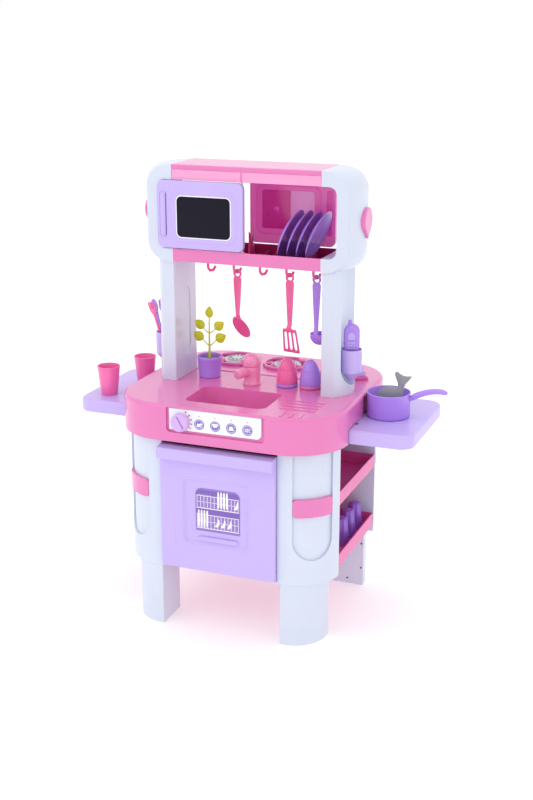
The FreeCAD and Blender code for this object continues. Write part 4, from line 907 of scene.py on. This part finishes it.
def door_print(where, place):
    """The printed picture on a large door: two wire racks with plates and cups."""
    body = "dishwasher" if where == "front" else "oven"
    window = ["dishwasher_window" if where == "front" else "oven_window"]
    u0, u1, v0, v1 = -51, 51.5, 243, 341
    face = DOOR_BACK - 0.6
    plate_of(f"print_ground_{where}", rounded(u0, u1, v0, v1, (3, 3, 14, 14), 8), face, DOOR_BACK,
             "print", body, "print_window", window, place)
    band = [rounded(u0 + 1, u1 - 1, 322, 337, (0.5, 0.5, 11, 11), 6), rounded(u0 + 1, u1 - 1, 279, 294, 0.5)]
    decals(f"print_bands_{where}", band, face, 0.1, "print_dark", body, "print_window", place)
    wires = []
    for top, low in ((324, 296), (281, 250)):
        wires.append(stroke(u0 + 2, top, u1 - 2, top, 0.8))
        wires.append(stroke(u0 + 2, (top + low) / 2, u1 - 2, (top + low) / 2, 0.5))
        wires.append(stroke(u0 + 2, low, u1 - 2, low, 0.9))
        for k in range(13):
            u = u0 + 4 + k * 7.9
            wires.append(stroke(u, low, u, top, 0.55))
    for k in range(5):
        wires.append(annulus_wedges(u0 + 10 + k * 6, 336 - 10, 0.4, 1.2, 0, 180, 6))
    dishes = []
    for start, base, top in ((2, 300, 338), (-44, 252, 292)):
        for k in range(4):
            u = start + 6.6 * k
            dishes.append([(u - 2.1, base + 4), (u - 0.6, base), (u + 2, base), (u + 2.8, (base + top) / 2),
                           (u + 2, top - 2), (u + 0.2, top), (u - 1.6, top - 4)])
    for u, v in ((38, 302), (-6, 256), (8, 256), (22, 256)):
        dishes.append([(u, v), (u + 7, v), (u + 10, v + 6), (u + 10.5, v + 17), (u + 8, v + 19),
                       (u + 5, v + 8), (u + 1, v + 4)])
    decals(f"print_wires_{where}", wires, face - 0.1, 0.12, "line", body, "print_window", place)
    decals(f"print_dishes_{where}", dishes, face - 0.2, 0.15, "line", body, "print_window", place)
    frame_ring(f"door_frame_{where}", (-83, 75, 208, 363), 16,
               ((-0.5, -228.6), (0, -229.1), (1.4, -229.5), (3, -229.3), (5, -227.6), (8.4, -225.7),
                (8.4, -225)),
               "lilac", body, "lilac", place)
    sweep(f"door_ledge_{where}", [(u, DOOR_BACK - proud, 226, wide, thick) for u, proud, wide, thick in (
        (-44, 0, 1.5, 1), (-40, 1.6, 4.4, 2.6), (-10, 2.2, 5, 3), (30, 2.2, 5, 3), (44, 1.6, 4.4, 2.6),
        (48, 0, 1.5, 1))],
          "lilac", body, "lilac", place=place, side=(0, 0, 1), power=2)


mirrored_pair(panel_prints)
mirrored_pair(door_print)


def microwave_face():
    """The microwave door's bordered black window, its soft frame and its raised grip."""
    body = "cabinet_door_front"
    plate_of("microwave_border", rounded(-156.4, -28.6, 844.6, 935.9, 12.5, 8), -71.5, -68,
             "line", body, "lilac", ["cabinet_window_front"], bevel=0.3)
    plate_of("microwave_pane", rounded(-154.2, -30.8, 846.8, 933.7, 10.5, 8), -71.9, -69,
             "black", body, "black_window", bevel=0.3)
    frame_ring("microwave_frame", (-168, -17, 835, 946), 20,
               ((-0.5, -70.6), (0, -71.1), (1.6, -71.9), (4, -72.1), (7.5, -71.6), (10.5, -71.05),
                (10.5, -70.6)),
               "lilac", body, "lilac")
    frame_ring("microwave_groove", (-196, -176.5, 843, 945), 9,
               ((-0.6, -70.6), (-0.6, -71.05), (0.6, -71.7), (2, -71.4), (3.2, -70), (3.2, -69)),
               "lilac", body, "lilac")
    sweep("microwave_grip", [(-186.4, y, z, wide, thick) for y, z, wide, thick in (
        (-68, 847, 5, 2), (-70.6, 849, 5.8, 3), (-71.8, 856, 6.2, 3.4), (-72, 894, 6.2, 3.4),
        (-71.8, 932, 6.2, 3.4), (-70.6, 939, 5.8, 3), (-68, 941, 5, 2))],
          "lilac", body, "lilac", power=2.2)


def rear_door_faces():
    """The tinted rear door: a dark square, a clear pane, a frame and a grip recess, on both faces."""
    body = "cabinet_door_rear"
    for side, inner, outer in (("in", 59.4, 60.4), ("out", 71.6, 68)):
        stands = ["cabinet_window_rear"] if side == "in" else ()
        sign = 1 if outer > inner else -1
        plate_of(f"rear_pane_dark_{side}", rounded(-9, 57, 855, 939, (5, 1, 1, 5), 6), inner, outer,
                 "clear_dark", body, "deep_pink", stands, bevel=0.2)
        plate_of(f"rear_pane_light_{side}", rounded(57.3, 112, 855, 939, (1, 8, 8, 1), 6), inner, outer,
                 "clear_light", body, "deep_pink", bevel=0.2)
        plate_of(f"rear_grip_{side}", rounded(139.5, 153.5, 845, 943, 5, 6), inner + 0.2 * sign, outer,
                 "rear_grip", body, "deep_pink", bevel=0.2)
        face = 60 if side == "in" else 71
        rise = -0.8 * sign
        frame_ring(f"rear_frame_{side}", (-24, 127, 841, 952), 18,
                   ((-0.5, face + 0.5 * sign), (0, face + 0.1 * rise), (2, face + rise),
                    (5, face + 1.1 * rise), (9, face + 0.9 * rise), (12, face + 0.1 * rise),
                    (12, face + 0.5 * sign)),
                   "clear_pink", body, "pink_clear")
    lathe("rear_pane_boss", [(0, 0), (5.4, 0), (6, 1), (4, 1.8), (0, 2)], "rear_grip", body, "deep_pink",
          place=placed(25, 59.6, 898, rotation("X", 90)), steps=28)


def cabinet_trims(where, place):
    """The lighter lower band of the cabinet's fascia."""
    band = [(-168, 968.4), (168, 968.4), (168, 989.4), (-168, 989.4)]
    plate_of(f"fascia_band_{where}", band, -63.4, -62.4, "light_pink", "kitchen", "pink", place=place,
             bevel=0.4)


microwave_face()
rear_door_faces()
mirrored_pair(knob_sleeve)
mirrored_pair(cabinet_trims)
loft("cabinet_gusset", [[(x, -60, 797), (x, -60, 866), (x, -55, 862), (x, -30, 824), (x, -30, 797)]
                        for x in (6.6, 8.6)], "floor_magenta", "kitchen", "deep_pink", bevel=0.4)
for side, sign in (("front", -1), ("rear", 1)):
    plate_of(f"cabinet_liner_{side}", [(-160, 797), (160, 797), (160, 818.4), (-160, 818.4)], sign * 60.6,
             sign * 60.9, "floor_magenta", "kitchen", "deep_pink")

# Dark dots on the rear legs: painted shade where the screw holes are.
for x, z in ((214.5, 107), (214.5, 45), (181, 14)):
    for sx, sy, where in ((1, 1, "a"), (-1, -1, "b")):
        lathe(f"screw_{where}_{x:.0f}_{z}", [(0, 0), (2.2, 0), (2.4, 0.5), (1.2, 0.8), (0, 0.8)], "hole",
              "kitchen", "white", place=placed(sx * x, sy * 130, z, rotation("X", 90 * sy)), steps=16)


# ---------------------------------------------------------------- stage, light, camera

def build_stage():
    """A pale floor that gives off a little light, and a white world."""
    mesh = bpy.data.meshes.new("floor")
    half = 9
    mesh.from_pydata([(-half, -half, 0), (half, -half, 0), (half, half, 0), (-half, half, 0)], [],
                     [(0, 1, 2, 3)])
    floor = bpy.data.objects.new("floor", mesh)
    bpy.context.collection.objects.link(floor)
    paper = plastic("floor_paper", (228, 228, 228), rough=0.9, coat=0, grain=0.02, subsurface=0, shade=0.005)
    glow = paper.node_tree.nodes["Principled BSDF"]
    glow.inputs["Emission Color"].default_value = (1, 1, 1, 1)
    glow.inputs["Emission Strength"].default_value = 0.36
    floor.data.materials.append(paper)
    world = bpy.data.worlds.new("studio")
    bpy.context.scene.world = world
    world.use_nodes = True
    background = world.node_tree.nodes["Background"]
    background.inputs["Color"].default_value = (1, 1, 1, 1)
    background.inputs["Strength"].default_value = 1.0


def area_light(name, place, size, power):
    """A soft white lamp aimed at the middle of the kitchen."""
    target = (0, 0, 0.5)
    data = bpy.data.lights.new(name, "AREA")
    data.shape = "RECTANGLE"
    data.size, data.size_y = size
    data.energy = power
    light = bpy.data.objects.new(name, data)
    light.location = place
    light.rotation_euler = (Vector(target) - Vector(place)).to_track_quat("-Z", "Y").to_euler()
    bpy.context.collection.objects.link(light)


def build_camera():
    data = bpy.data.cameras.new("camera")
    data.lens = 56.38
    data.sensor_width = 36
    camera = bpy.data.objects.new("camera", data)
    camera.location = (0.9943, -2.4988, 1.3039)
    camera.rotation_euler = (math.radians(90 - 17.11), 0, math.radians(21.22))
    bpy.context.collection.objects.link(camera)
    bpy.context.scene.camera = camera


build_stage()
area_light("key", (-1.6, -2.2, 2.6), (1.6, 1.6), 10)
area_light("fill", (2.6, -1.2, 1.4), (1.4, 2.0), 2)
area_light("top", (0, 0.3, 3.2), (2.0, 1.4), 9)
build_camera()
bpy.context.scene.view_settings.view_transform = "Standard"
